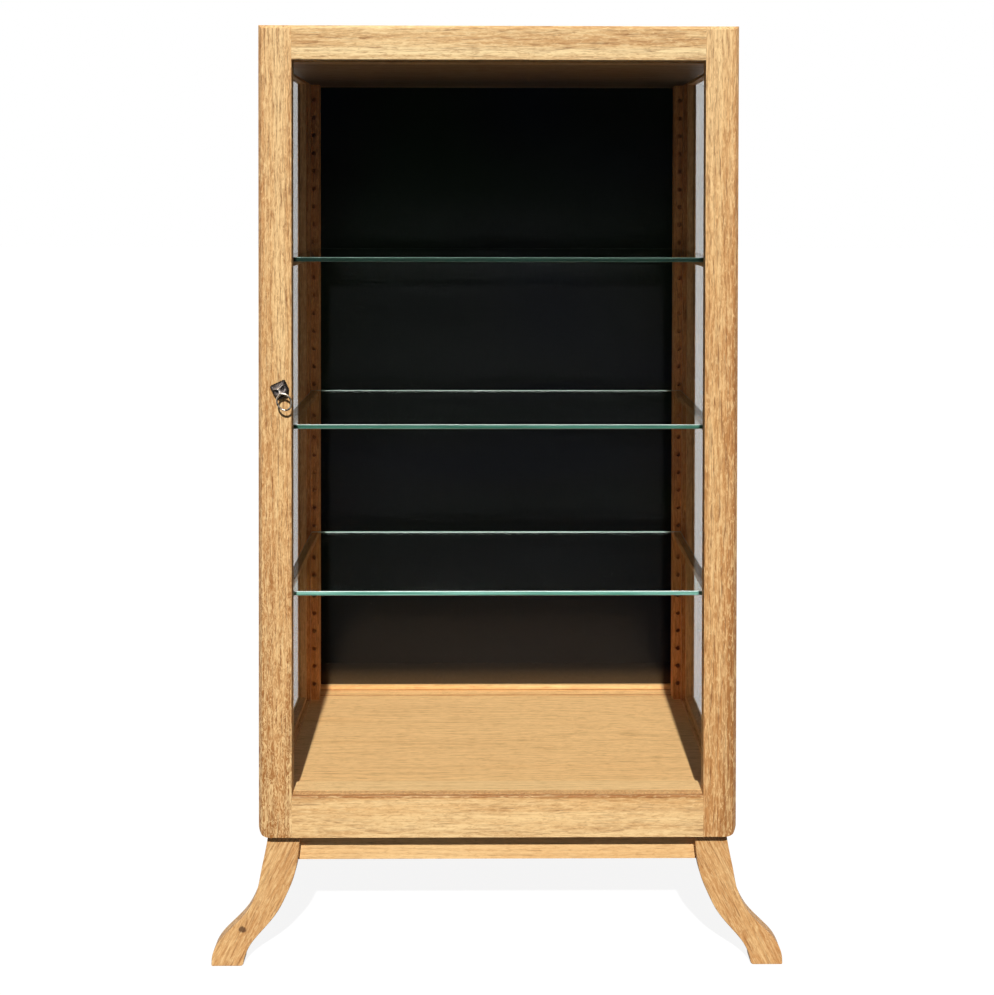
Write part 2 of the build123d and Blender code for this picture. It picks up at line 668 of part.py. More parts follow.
for place, rail_depth in CROSS_DEPTHS.items():
    for level, rail_z in zip(("bottom", "top"), CROSS_RAIL_Z[place]):
        with BuildPart() as cross_rail:
            block((-INNER_HALF_WIDTH, INNER_HALF_WIDTH), rail_depth, rail_z)
            block((-CROSS_TENON_REACH, CROSS_TENON_REACH), CROSS_TENONS[place], tenon_heights(rail_z))
            if level == "top":
                block(
                    (-INNER_HALF_WIDTH, INNER_HALF_WIDTH),
                    grown(CEILING_GROOVES[place], TENON_CLEARANCE),
                    grown(CEILING_TONGUE_Z, TENON_CLEARANCE),
                    mode=Mode.SUBTRACT,
                )
            if place == "rear":
                block(
                    (-INNER_HALF_WIDTH, INNER_HALF_WIDTH),
                    (BACK_PANEL_FRONT, CASE_BACK),
                    BACK_REBATE_Z,
                    mode=Mode.SUBTRACT,
                )
                cut_screws(back_screws, case_screw_hole)
                if level == "bottom":
                    cut_screws(stand_screws, stand_screw_hole)
        finish(cross_rail, f"{place}_rail_{level}")

# Floor, ceiling, top and back

with BuildPart() as floor_board:
    block(
        (-INNER_HALF_WIDTH, INNER_HALF_WIDTH),
        (FRONT_RAIL_BACK, BACK_PANEL_FRONT),
        (FLOOR_UNDERSIDE, FLOOR_Z),
    )
finish(floor_board, "floor_board")

with BuildPart() as floor_bearers:
    bearer_z = (FLOOR_UNDERSIDE - BEARER_SIZE, FLOOR_UNDERSIDE)
    for sign in (-1, 1):
        block(
            mirrored(sign, INNER_HALF_WIDTH - BEARER_SIZE, INNER_HALF_WIDTH),
            (FRONT_RAIL_BACK, REAR_RAIL_FRONT),
            bearer_z,
        )
    front_bearer = INNER_HALF_WIDTH - BEARER_SIZE - PANEL_CLEARANCE
    block(
        (-front_bearer, front_bearer),
        (FRONT_RAIL_BACK, FRONT_RAIL_BACK + FRONT_BEARER_DEPTH),
        (STAND_HEIGHT, FLOOR_UNDERSIDE),
    )
    cut_screws(stand_screws, stand_screw_hole)
finish(floor_bearers, "floor_bearers")

with BuildPart() as ceiling_board:
    block(
        (-INNER_HALF_WIDTH, INNER_HALF_WIDTH),
        (FRONT_RAIL_BACK, REAR_RAIL_FRONT),
        (CEILING_Z, CEILING_Z + CEILING_THICKNESS),
    )
    block(
        (-INNER_HALF_WIDTH, INNER_HALF_WIDTH),
        (CEILING_GROOVES["front"][0], CEILING_GROOVES["rear"][1]),
        CEILING_TONGUE_Z,
    )
finish(ceiling_board, "ceiling_board")

with BuildPart() as top_board:
    block((-HALF_WIDTH, HALF_WIDTH), (CASE_FRONT, CASE_BACK), (FRAME_TOP, TOP_Z))
    upper_edges = top_board.faces().sort_by(Axis.Z)[-1].edges()
    fillet(upper_edges.sort_by(Axis.Y)[1:], radius=CASE_ARRIS)
finish(top_board, "top_board")

with BuildPart() as floor_fillet:
    block(
        (-INNER_HALF_WIDTH, INNER_HALF_WIDTH),
        (BACK_PANEL_FRONT - FLOOR_FILLET, BACK_PANEL_FRONT),
        (FLOOR_Z, FLOOR_Z + FLOOR_FILLET),
    )
finish(floor_fillet, "floor_fillet_rear")

back_half_width = INNER_HALF_WIDTH + BACK_REBATE_WIDTH - PANEL_CLEARANCE
with BuildPart() as back_panel:
    block(
        (-back_half_width, back_half_width),
        (BACK_PANEL_FRONT, BACK_PANEL_BACK),
        grown(BACK_REBATE_Z, -PANEL_CLEARANCE),
    )
    cut_screws(back_screws, case_screw_hole)
finish(back_panel, "back_panel")

# Peg strips, with a row of blind holes in the edge that faces the shelves

peg_rows = [FLOOR_Z + FIRST_PEG_HEIGHT + row * PEG_PITCH for row in range(PEG_ROWS)]

for place, (strip_depth, strip_bottom, facing) in STRIPS.items():
    hole_centre = peg_depth(place) - facing * PEG_HOLE_DEPTH / 2
    for side, sign in SIDES:
        with BuildPart() as strip:
            block(
                mirrored(sign, INNER_HALF_WIDTH - STRIP_THICKNESS, INNER_HALF_WIDTH),
                strip_depth,
                (strip_bottom, CEILING_Z),
            )
            with Locations(*[(sign * PEG_X, at_depth(hole_centre), z) for z in peg_rows]):
                Cylinder(PEG_DIAMETER / 2, PEG_HOLE_DEPTH, rotation=(90, 0, 0), mode=Mode.SUBTRACT)
            cut_screws(strip_screws(place, sign), case_screw_hole)
        finish(strip, f"peg_strip_{place}_{side}")

case_screw = wood_screw(CASE_SCREW_LENGTH)
with BuildPart() as case_screw_set:
    with Locations(*back_screws, *all_strip_screws):
        add(case_screw)
finish(case_screw_set, "case_screws")

# Pegs, cleats and glass shelves

peg_radius = PEG_DIAMETER / 2 - PEG_CLEARANCE
shelf_pegs = [
    (sign * PEG_X, at_depth(peg_depth(place) + facing * (PEG_LENGTH / 2 - PEG_HOLE_DEPTH)), peg_rows[row])
    for row in SHELF_PEG_ROWS.values()
    for sign in (-1, 1)
    for place, (strip_depth, strip_bottom, facing) in STRIPS.items()
]
with BuildPart() as pegs:
    with Locations(*shelf_pegs):
        Cylinder(peg_radius, PEG_LENGTH, rotation=(90, 0, 0))
finish(pegs, "shelf_pegs")

SHELF_ROOM = (FRONT_STRIP[1], REAR_STRIP[0])
cleat_rows = {level: peg_rows[row] + peg_radius for level, row in SHELF_PEG_ROWS.items()}

with BuildPart() as cleats:
    for cleat_z in cleat_rows.values():
        for sign in (-1, 1):
            block(
                mirrored(sign, INNER_HALF_WIDTH - CLEAT_WIDTH, INNER_HALF_WIDTH),
                grown(SHELF_ROOM, -CLEAT_END_GAP),
                (cleat_z, cleat_z + CLEAT_THICKNESS),
            )
finish(cleats, "shelf_cleats")

for level, cleat_z in cleat_rows.items():
    shelf_z = cleat_z + CLEAT_THICKNESS
    with BuildPart() as shelf:
        block(
            grown((-INNER_HALF_WIDTH, INNER_HALF_WIDTH), -SHELF_SIDE_GAP),
            grown(SHELF_ROOM, -SHELF_END_GAP),
            (shelf_z, shelf_z + SHELF_THICKNESS),
        )
        chamfer(shelf.edges().filter_by(Axis.X), length=SHELF_ARRIS)
    finish(shelf, f"glass_shelf_{level}")

# Door frame

DOOR_DEPTH = (0, DOOR_THICKNESS)
DOOR_REBATE_X = DOOR_OPENING_X + DOOR_REBATE
DOOR_REBATE_Z = grown(DOOR_OPENING_Z, DOOR_REBATE)
DOOR_REBATE_DEPTH = (DOOR_GLASS_SETBACK, DOOR_THICKNESS)
DOOR_TENON_DEPTH = (DOOR_TENON_SETBACK, DOOR_TENON_SETBACK + TENON_THICKNESS)
DOOR_TENON_Z = {
    "bottom": (DOOR_BOTTOM + DOOR_TENON_FOOT, DOOR_REBATE_Z[0] - TENON_SHOULDER),
    "top": (DOOR_REBATE_Z[1] + TENON_SHOULDER, TOP_Z - DOOR_TENON_HEAD),
}


def cut_door_rebate():
    """The rebate that the door's glass and beads sit in."""
    block((-DOOR_REBATE_X, DOOR_REBATE_X), DOOR_REBATE_DEPTH, DOOR_REBATE_Z, mode=Mode.SUBTRACT)


for side, sign in SIDES:
    outer_x = sign * HALF_WIDTH
    corner_x = outer_x - sign * DOOR_CORNER_RADIUS
    corner_z = DOOR_BOTTOM + DOOR_CORNER_RADIUS
    bulge = DOOR_CORNER_RADIUS * math.sqrt(0.5)
    with BuildPart() as door_stile:
        block(mirrored(sign, DOOR_OPENING_X, HALF_WIDTH), DOOR_DEPTH, (DOOR_BOTTOM, TOP_Z))
        front_edges = door_stile.faces().sort_by(Axis.Y)[0].edges()
        outer_edge = front_edges.filter_by(Axis.Z).sort_by(lambda edge: abs(edge.center().X))[-1]
        top_edge = front_edges.filter_by(Axis.X).sort_by(Axis.Z)[-1]
        chamfer([outer_edge, top_edge], length=DOOR_EDGE_CHAMFER)
        with BuildSketch(Plane.XZ.offset(-at_depth(DOOR_THICKNESS))):
            with BuildLine():
                Line((outer_x, corner_z), (outer_x, DOOR_BOTTOM))
                Line((outer_x, DOOR_BOTTOM), (corner_x, DOOR_BOTTOM))
                ThreePointArc(
                    (corner_x, DOOR_BOTTOM), (corner_x + sign * bulge, corner_z - bulge), (outer_x, corner_z)
                )
            make_face()
        extrude(amount=DOOR_THICKNESS, mode=Mode.SUBTRACT)
        cut_door_rebate()
        for tenon_z in DOOR_TENON_Z.values():
            block(
                mirrored(sign, DOOR_OPENING_X, DOOR_OPENING_X + TENON_LENGTH + TENON_CLEARANCE),
                grown(DOOR_TENON_DEPTH, TENON_CLEARANCE),
                grown(tenon_z, TENON_CLEARANCE),
                mode=Mode.SUBTRACT,
            )
        if side == "right":
            cut_hinge_recesses(DOOR_THICKNESS - HINGE_LEAF_THICKNESS)
            cut_screws(door_hinge_screws, hinge_screw_hole)
        else:
            for z in CATCH_CENTRES:
                with Locations((CATCH_X, at_depth(DOOR_THICKNESS - STRIKE_THICKNESS / 2), z)):
                    Cylinder(
                        STRIKE_RADIUS + CATCH_CLEARANCE,
                        STRIKE_THICKNESS,
                        rotation=(90, 0, 0),
                        mode=Mode.SUBTRACT,
                    )
            cut_screws(strike_screws, strike_screw_hole)
            with Locations((PULL_X, at_depth(DOOR_THICKNESS / 2), PULL_HEIGHT)):
                Cylinder(
                    BOLT_RADIUS + BOLT_CLEARANCE, DOOR_THICKNESS, rotation=(90, 0, 0), mode=Mode.SUBTRACT
                )
            with Locations((PULL_X, at_depth(DOOR_THICKNESS - NUT_RECESS_DEPTH / 2), PULL_HEIGHT)):
                Cylinder(NUT_RECESS_RADIUS, NUT_RECESS_DEPTH, rotation=(90, 0, 0), mode=Mode.SUBTRACT)
    finish(door_stile, f"door_stile_{side}")

for level, rail_z in (
    ("bottom", (DOOR_BOTTOM, DOOR_OPENING_Z[0])),
    ("top", (DOOR_OPENING_Z[1], TOP_Z)),
):
    with BuildPart() as door_rail:
        block((-DOOR_OPENING_X, DOOR_OPENING_X), DOOR_DEPTH, rail_z)
        if level == "top":
            front_edges = door_rail.faces().sort_by(Axis.Y)[0].edges().filter_by(Axis.X).sort_by(Axis.Z)
            chamfer(front_edges[-1], length=DOOR_EDGE_CHAMFER)
        front_edges = door_rail.faces().sort_by(Axis.Y)[0].edges().filter_by(Axis.X).sort_by(Axis.Z)
        fillet(front_edges[-1 if level == "bottom" else 0], radius=DOOR_ARRIS)
        cut_door_rebate()
        tenon_reach = DOOR_OPENING_X + TENON_LENGTH
        block((-tenon_reach, tenon_reach), DOOR_TENON_DEPTH, DOOR_TENON_Z[level])
    finish(door_rail, f"door_rail_{level}")

door_pane_depth = (DOOR_GLASS_SETBACK, DOOR_GLASS_SETBACK + DOOR_GLASS_THICKNESS)
with BuildPart() as door_glass:
    block(
        grown((-DOOR_REBATE_X, DOOR_REBATE_X), -GLASS_CLEARANCE),
        door_pane_depth,
        grown(DOOR_REBATE_Z, -GLASS_CLEARANCE),
    )
finish(door_glass, "door_glass")

door_beads = bead_frame(
    Plane.XZ.offset(-at_depth(DOOR_THICKNESS)),
    ((-DOOR_OPENING_X, DOOR_OPENING_X), DOOR_OPENING_Z),
    DOOR_REBATE,
    DOOR_THICKNESS - door_pane_depth[1],
)
finish(door_beads, "door_beads")

# Hinges

KNUCKLE_PITCH = HINGE_HEIGHT / HINGE_KNUCKLES


def hinge_leaves(leaf_depth, own_knuckles, screws):
    """One leaf of every hinge, with its knuckles round the pin."""
    with BuildPart() as leaves:
        for z in HINGE_CENTRES:
            foot = z - HINGE_HEIGHT / 2
            block(
                (HALF_WIDTH - HINGE_LEAF_WIDTH, HALF_WIDTH),
                (leaf_depth, leaf_depth + HINGE_LEAF_THICKNESS),
                (foot, foot + HINGE_HEIGHT),
            )
            with Locations((HALF_WIDTH, at_depth(HINGE_DEPTH), z)):
                Cylinder(HINGE_KNUCKLE_RADIUS, HINGE_HEIGHT)
            for knuckle in range(HINGE_KNUCKLES):
                if knuckle in own_knuckles:
                    continue
                room = HINGE_KNUCKLE_RADIUS + HINGE_SWING_CLEARANCE
                first = knuckle == 0
                last = knuckle == HINGE_KNUCKLES - 1
                low = foot + knuckle * KNUCKLE_PITCH - (CUT_OVERRUN if first else HINGE_KNUCKLE_GAP / 2)
                high = foot + (knuckle + 1) * KNUCKLE_PITCH + (CUT_OVERRUN if last else HINGE_KNUCKLE_GAP / 2)
                block(
                    (HALF_WIDTH - room, HALF_WIDTH + room),
                    (HINGE_DEPTH - room, HINGE_DEPTH + room),
                    (low, high),
                    mode=Mode.SUBTRACT,
                )
            with Locations((HALF_WIDTH, at_depth(HINGE_DEPTH), z)):
                bore_radius = HINGE_PIN_RADIUS + HINGE_RUNNING_CLEARANCE
                Cylinder(bore_radius, HINGE_HEIGHT + CUT_OVERRUN, mode=Mode.SUBTRACT)
        cut_screws(screws, hinge_screw_hole)
    return leaves


case_leaves = hinge_leaves(CASE_FRONT, range(0, HINGE_KNUCKLES, 2), case_hinge_screws)
finish(case_leaves, "hinge_case_leaves")
door_leaf_depth = DOOR_THICKNESS - HINGE_LEAF_THICKNESS
door_leaves = hinge_leaves(door_leaf_depth, range(1, HINGE_KNUCKLES, 2), door_hinge_screws)
finish(door_leaves, "hinge_door_leaves")

with BuildPart() as hinge_pins:
    for z in HINGE_CENTRES:
        with Locations((HALF_WIDTH, at_depth(HINGE_DEPTH), z)):
            Cylinder(HINGE_PIN_RADIUS, HINGE_HEIGHT)
        for head_z in (z - (HINGE_HEIGHT + HINGE_PIN_HEAD) / 2, z + (HINGE_HEIGHT + HINGE_PIN_HEAD) / 2):
            with Locations((HALF_WIDTH, at_depth(HINGE_DEPTH), head_z)):
                Cylinder(HINGE_KNUCKLE_RADIUS - HINGE_SWING_CLEARANCE, HINGE_PIN_HEAD)
finish(hinge_pins, "hinge_pins")

hinge_screw = wood_screw(HINGE_SCREW_LENGTH)
for body, places in (("case", case_hinge_screws), ("door", door_hinge_screws)):
    with BuildPart() as hinge_screw_set:
        with Locations(*places):
            add(hinge_screw)
    finish(hinge_screw_set, f"hinge_{body}_screws")

# Magnetic catches

with BuildPart() as catch_magnets:
    for z in CATCH_CENTRES:
        with Locations((CATCH_X, at_depth(CASE_FRONT + MAGNET_LENGTH / 2), z)):
            Cylinder(MAGNET_RADIUS, MAGNET_LENGTH, rotation=(90, 0, 0))
finish(catch_magnets, "catch_magnets")

with BuildPart() as catch_strikes:
    for z in CATCH_CENTRES:
        with Locations((CATCH_X, at_depth(DOOR_THICKNESS - STRIKE_THICKNESS / 2), z)):
            Cylinder(STRIKE_RADIUS, STRIKE_THICKNESS, rotation=(90, 0, 0))
    cut_screws(strike_screws, strike_screw_hole)
finish(catch_strikes, "catch_strikes")

strike_screw = wood_screw(STRIKE_SCREW_LENGTH)
with BuildPart() as strike_screw_set:
    with Locations(*strike_screws):
        add(strike_screw)
finish(strike_screw_set, "catch_strike_screws")

# Lion mask, its bolt and the ring in its mouth
# The mask is drawn upright about its bolt, with its face towards -Y, and then turned.

tilt = math.radians(PULL_TILT)
pull_plane = Plane(
    origin=(PULL_X, at_depth(0), PULL_HEIGHT), x_dir=(math.cos(tilt), 0, math.sin(tilt)), z_dir=(0, -1, 0)
)


def half_ellipsoid(across, up, out):
    """The half of an ellipsoid that stands proud of its own XY plane."""
    with BuildPart() as dome:
        Sphere(1)
        scale(by=(across, up, out))
        split(bisect_by=Plane.XY, keep=Keep.TOP)
    return dome.part


face = half_ellipsoid(MASK_FACE_WIDTH / 2, MASK_FACE_HEIGHT / 2, MASK_FACE_PROJECTION)
forehead = half_ellipsoid(FOREHEAD_WIDTH / 2, FOREHEAD_HEIGHT / 2, FOREHEAD_PROJECTION)
muzzle = half_ellipsoid(MUZZLE_WIDTH / 2, MUZZLE_HEIGHT / 2, MUZZLE_PROJECTION)
nose = half_ellipsoid(NOSE_WIDTH / 2, NOSE_LENGTH / 2, NOSE_PROJECTION)
brow = half_ellipsoid(BROW_LENGTH / 2, BROW_HEIGHT / 2, BROW_PROJECTION)
ear = half_ellipsoid(EAR_WIDTH / 2, EAR_HEIGHT / 2, EAR_PROJECTION)

def ring_sag(across):
    """How far the ring has curved down from its top, this far across."""
    return RING_HALF_HEIGHT * (1 - math.sqrt(1 - (across / RING_HALF_WIDTH) ** 2))


# The hole through the muzzle widens outwards, so that the curved ring can swing in it
mouth_radius = RING_WIRE_RADIUS + MOUTH_CLEARANCE
mouth_reach = MUZZLE_WIDTH / 2
mouth_flare = mouth_radius + ring_sag(mouth_reach)
with BuildPart() as mouth_hole:
    with BuildSketch(Plane.XY):
        with BuildLine():
            ThreePointArc((-mouth_reach, mouth_flare), (0, mouth_radius), (mouth_reach, mouth_flare))
            Polyline(
                (mouth_reach, mouth_flare), (mouth_reach, 0), (-mouth_reach, 0), (-mouth_reach, mouth_flare)
            )
        make_face()
    revolve(axis=Axis.X)

with BuildPart(pull_plane) as mask:
    with BuildSketch(pull_plane) as mask_outline:
        with BuildLine():
            Polyline(
                (-MASK_JAW_WIDTH / 2, -MASK_HEIGHT / 2),
                (MASK_JAW_WIDTH / 2, -MASK_HEIGHT / 2),
                (MASK_WIDTH / 2, -MASK_CHEEK_DROP),
                (MASK_WIDTH / 2, MASK_HEIGHT / 2),
                (-MASK_WIDTH / 2, MASK_HEIGHT / 2),
                (-MASK_WIDTH / 2, -MASK_CHEEK_DROP),
                close=True,
            )
        make_face()
        jaw, cheeks, crown = mask_outline.vertices().group_by(Axis.Y)
        fillet(jaw, radius=MASK_JAW_RADIUS)
        fillet(cheeks, radius=MASK_CHEEK_RADIUS)
        fillet(crown, radius=MASK_CROWN_RADIUS)
    extrude(amount=MASK_RIM)
    with Locations((0, 0)):
        add(face)
    with Locations((0, FOREHEAD_RISE)):
        add(forehead)
    with Locations((0, -MUZZLE_DROP)):
        add(muzzle)
    with Locations((0, NOSE_RISE)):
        add(nose)
    with Locations((-BROW_SPREAD, BROW_RISE), (BROW_SPREAD, BROW_RISE)):
        add(brow)
    with Locations((-EAR_SPREAD, EAR_RISE), (EAR_SPREAD, EAR_RISE)):
        add(ear)
    with Locations((0, -MUZZLE_DROP, RING_STANDOFF)):
        add(mouth_hole.part, mode=Mode.SUBTRACT)
    with Locations((0, 0, BOLT_IN_MASK / 2)):
        Cylinder(BOLT_RADIUS + BOLT_CLEARANCE, BOLT_IN_MASK, mode=Mode.SUBTRACT)
finish(mask, "handle_mask")

with BuildPart(pull_plane) as bolt:
    with Locations((0, 0, BOLT_IN_MASK - BOLT_LENGTH / 2)):
        Cylinder(BOLT_RADIUS, BOLT_LENGTH)
finish(bolt, "handle_bolt")

nut_seat = pull_plane.offset(NUT_RECESS_DEPTH - DOOR_THICKNESS)
with BuildPart(nut_seat) as nut:
    with BuildSketch(nut_seat):
        Circle(NUT_FLANGE_RADIUS)
    extrude(amount=-NUT_FLANGE_THICKNESS)
    with BuildSketch(nut_seat):
        RegularPolygon(NUT_ACROSS_FLATS / 2, 6, major_radius=False)
    extrude(amount=-NUT_THICKNESS)
    with Locations((0, 0, -NUT_THICKNESS / 2)):
        Cylinder(BOLT_RADIUS + BOLT_CLEARANCE, NUT_THICKNESS, mode=Mode.SUBTRACT)
finish(nut, "handle_nut")

ring_plane = pull_plane.offset(RING_STANDOFF)
with BuildPart() as ring:
    with BuildLine(ring_plane) as ring_line:
        EllipticalCenterArc(
            (0, -MUZZLE_DROP - RING_HALF_HEIGHT), RING_HALF_WIDTH, RING_HALF_HEIGHT, arc_size=360
        )
    with BuildSketch(ring_line.line ^ 0):
        Circle(RING_WIRE_RADIUS)
    sweep()
finish(ring, "handle_ring")
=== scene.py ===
import math

import bpy
from mathutils import Matrix, Vector


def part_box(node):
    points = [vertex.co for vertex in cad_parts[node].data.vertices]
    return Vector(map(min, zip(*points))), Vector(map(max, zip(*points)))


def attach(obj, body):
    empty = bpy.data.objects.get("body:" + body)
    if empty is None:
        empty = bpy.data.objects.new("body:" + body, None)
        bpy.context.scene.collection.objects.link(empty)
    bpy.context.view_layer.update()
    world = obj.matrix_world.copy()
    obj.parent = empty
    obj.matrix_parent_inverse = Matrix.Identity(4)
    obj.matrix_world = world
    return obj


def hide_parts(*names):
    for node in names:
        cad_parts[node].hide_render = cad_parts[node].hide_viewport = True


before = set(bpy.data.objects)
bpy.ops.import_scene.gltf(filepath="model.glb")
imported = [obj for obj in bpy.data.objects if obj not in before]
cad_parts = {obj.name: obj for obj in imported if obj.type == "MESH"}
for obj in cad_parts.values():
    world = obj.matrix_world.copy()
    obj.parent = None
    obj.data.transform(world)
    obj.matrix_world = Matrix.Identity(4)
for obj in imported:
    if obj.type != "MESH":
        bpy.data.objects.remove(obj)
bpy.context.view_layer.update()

# Lengths are in metres and angles in radians, unless a name or a comment says otherwise. Colours given as
# three whole numbers are picture values from 0 to 255.

# The axes, and the two corners of a box
X, Y, Z = range(3)
LOW, HIGH = range(2)

# The photograph's camera, found from the cabinet's own edges in the picture
PICTURE_HEIGHT = 995
FOCAL_PIXELS = 1156.4
PRINCIPAL_ROW = 212.3
CAMERA_PLACE = (-0.0191, -2.3095, 1.3962)
CAMERA_YAW = -0.0077
CAMERA_PITCH = -0.012
CAMERA_ROLL = -0.0017
SENSOR_MM = 36.0

# Light: one hard key lamp in front and above, and a weak, even sky
KEY_ELEVATION = math.radians(41.5)
KEY_STRENGTH = 4.08
KEY_SPREAD = math.radians(1.2)
SKY_LIGHT = 0.065

# The studio floor: its grey and its glow as the camera sees it, and its grey for the light that it sends up
FLOOR_SIZE = (60.0, 60.0)
FLOOR_GREY = 0.14
FLOOR_GLOW = 0.90
FLOOR_BOUNCE = 0.10

# Two dark cards that only reflections see. One stands behind the camera and one lies on the floor before it.
CARD_SIZE = (14.0, 9.0)
CARD_PLACE = (0.0, -7.0, 3.4)
GROUND_CARD_SIZE = (14.0, 6.6)
GROUND_CARD_PLACE = (0.0, -3.75, 0.003)
CARD_FALL_PER_METRE = -0.05
CARD_PATCH_SCALE = (0.35, 1.1, 1.0)
CARD_PATCH_REACH = 0.5
CARD_SHADES = ((0.15, (6, 8, 10)), (0.45, (36, 42, 39)), (0.75, (60, 69, 66)))
CARD_HUE_SCALE = (0.5, 0.7, 1.0)
CARD_GREEN = (20, 38, 18)
CARD_GREEN_STOPS = ((0.35, 0.6), (0.50, 0.0))
CARD_BLUE = (10, 18, 42)
CARD_BLUE_STOPS = ((0.50, 0.0), (0.65, 0.6))


def srgb(red, green, blue):
    """Linear colour of a shade given in picture values from 0 to 255."""
    shares = [value / 255 for value in (red, green, blue)]
    linear = [s / 12.92 if s <= 0.04045 else ((s + 0.055) / 1.055) ** 2.4 for s in shares]
    return (*linear, 1.0)


def grey(level):
    """A linear colour that is the same in red, green and blue."""
    return (level, level, level, 1.0)


# Short calls that add and join the nodes of a material

def add(tree, kind, inputs=(), **settings):
    """A new node, with its settings and with inputs that are values or sockets to join."""
    made = tree.nodes.new(kind)
    for name, value in settings.items():
        setattr(made, name, value)
    for key, value in dict(inputs).items():
        if isinstance(value, bpy.types.NodeSocket):
            tree.links.new(value, made.inputs[key])
        else:
            made.inputs[key].default_value = value
    return made


def calc(tree, operation, *values):
    """The result of one Math node."""
    return add(tree, "ShaderNodeMath", dict(enumerate(values)), operation=operation).outputs[0]


def plus(tree, first, second):
    return calc(tree, "ADD", first, second)


def minus(tree, first, second):
    return calc(tree, "SUBTRACT", first, second)


def times(tree, first, second):
    return calc(tree, "MULTIPLY", first, second)


def over(tree, first, second):
    return calc(tree, "DIVIDE", first, second)


def swing(tree, value, reach):
    """A value from 0 to 1, made to swing about zero over the given reach."""
    return times(tree, minus(tree, value, 0.5), reach)


def distance(tree, first, second):
    """How far apart two places are."""
    between = add(tree, "ShaderNodeVectorMath", {0: first, 1: second}, operation="SUBTRACT").outputs[0]
    return add(tree, "ShaderNodeVectorMath", {0: between}, operation="LENGTH").outputs["Value"]


def split(tree, vector):
    """The three sockets of a vector, its x, y and z."""
    return add(tree, "ShaderNodeSeparateXYZ", {"Vector": vector}).outputs


def mapped(tree, coordinates, **changes):
    """Coordinates with a new Location, Rotation or Scale."""
    return add(tree, "ShaderNodeMapping", {"Vector": coordinates, **changes}).outputs[0]


def stretched(tree, coordinates, along, across):
    """Coordinates whose first axis is scaled by along and whose other two are scaled by across."""
    return mapped(tree, coordinates, Scale=(along, across, across))


def noise(tree, coordinates, scale=1.0, detail=2.0, roughness=0.5, distortion=0.0):
    """A noise value from 0 to 1."""
    inputs = {"Vector": coordinates, "Scale": scale, "Detail": detail, "Roughness": roughness,
              "Distortion": distortion}
    return add(tree, "ShaderNodeTexNoise", inputs).outputs["Fac"]


def ramp(tree, factor, *stops):
    """A colour ramp through stops of place and colour, or of place and grey."""
    made = add(tree, "ShaderNodeValToRGB", {"Fac": factor})
    points = made.color_ramp.elements
    while len(points) < len(stops):
        points.new(1.0)
    for point, (place, colour) in zip(points, stops):
        point.position = place
        point.color = colour if isinstance(colour, tuple) else grey(colour)
    return made.outputs["Color"]


def mark(tree, value, none, full):
    """How strongly a mark shows: not at all at one value of its pattern, and fully at another."""
    return ramp(tree, value, *sorted(((none, 0.0), (full, 1.0))))


def mix(tree, factor, first, second):
    """Two colours mixed by a factor."""
    return add(tree, "ShaderNodeMix", {0: factor, 6: first, 7: second}, data_type="RGBA").outputs[2]


def mix_shaders(tree, factor, first, second):
    """Two shaders mixed by a factor."""
    return add(tree, "ShaderNodeMixShader", {0: factor, 1: first, 2: second}).outputs[0]


def new_material(name):
    """An empty material and its principled shader."""
    material = bpy.data.materials.new(name)
    material.use_nodes = True
    tree = material.node_tree
    return material, tree, tree.nodes["Principled BSDF"]


def show(tree, shader):
    """Make a shader the material's surface."""
    tree.links.new(shader, tree.nodes["Material Output"].inputs["Surface"])


def object_coordinates(tree):
    """Coordinates that stay with the piece when it moves."""
    return add(tree, "ShaderNodeTexCoord").outputs["Object"]


def drive(tree, shader, **sockets):
    """Join sockets to the shader's inputs, named with underscores for spaces."""
    for name, socket in sockets.items():
        tree.links.new(socket, shader.inputs[name.replace("_", " ")])


def bump(tree, height, distance_m, strength):
    """A normal that is raised by a height value."""
    inputs = {"Height": height, "Distance": distance_m, "Strength": strength}
    return add(tree, "ShaderNodeBump", inputs).outputs[0]


def dress(node, material):
    """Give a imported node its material."""
    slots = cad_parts[node].data.materials
    for index in range(len(slots)):
        slots[index] = material
    if not len(slots):
        slots.append(material)


# Oak

OAK_SHADES = {
    "light": (254, 215, 154),
    "middle": (230, 179, 117),
    "pink": (209, 150, 91),
    "streak": (167, 110, 57),
    "pore": (124, 76, 36),
}
# The colour of the painted shade that darkens the back of the case's ceiling and its top rear rail
PAINTED_SHADE_COLOUR = (40, 26, 16)
KNOT_SHADE = (76, 46, 24)

# How a board is turned so that its grain, which runs along the first axis, lies along x, y or z
GRAIN_X = (0.0, 0.0, 0.0)
GRAIN_Y = (0.0, 0.0, -math.pi / 2)
GRAIN_Z = (0.0, math.pi / 2, 0.0)
LEG_LEAN = math.radians(27)

# Year rings, and how far the grain sways from straight
RING_SPACING = 0.0075
SLOW_SWAY = 0.060
FAST_SWAY = 0.007

KNOT_PLACE = (-0.463, -0.221, 0.067)
KNOT_RADIUS = 0.0095
KNOT_UNEVENNESS = 0.010
KNOT_NOISE_SCALE = 130.0
KNOT_YEARS = 2.2

# How open the wood is through one year, from its start to its end
YEAR_STOPS = ((0.0, 1.0), (0.28, 0.55), (0.62, 0.12), (0.93, 0.0), (1.0, 1.0))

# How far a board's ground colour wanders in broad streaks and in patches, on a calm board and a lively one
BROAD_REACH = 0.7
PATCH_REACH = 0.45
CALM_SHARE = 0.35
LIVELY_SHARE = 0.55
# Painted light: a board with a rise is painted lighter above this height and darker below it
PAINTED_LIGHT_FROM_HEIGHT = 1.0
BAND_EDGE_POWER = 4.0
OAK_DEPTHS = ((0.22, "light"), (0.46, "middle"), (0.74, "pink"), (0.95, "streak"))

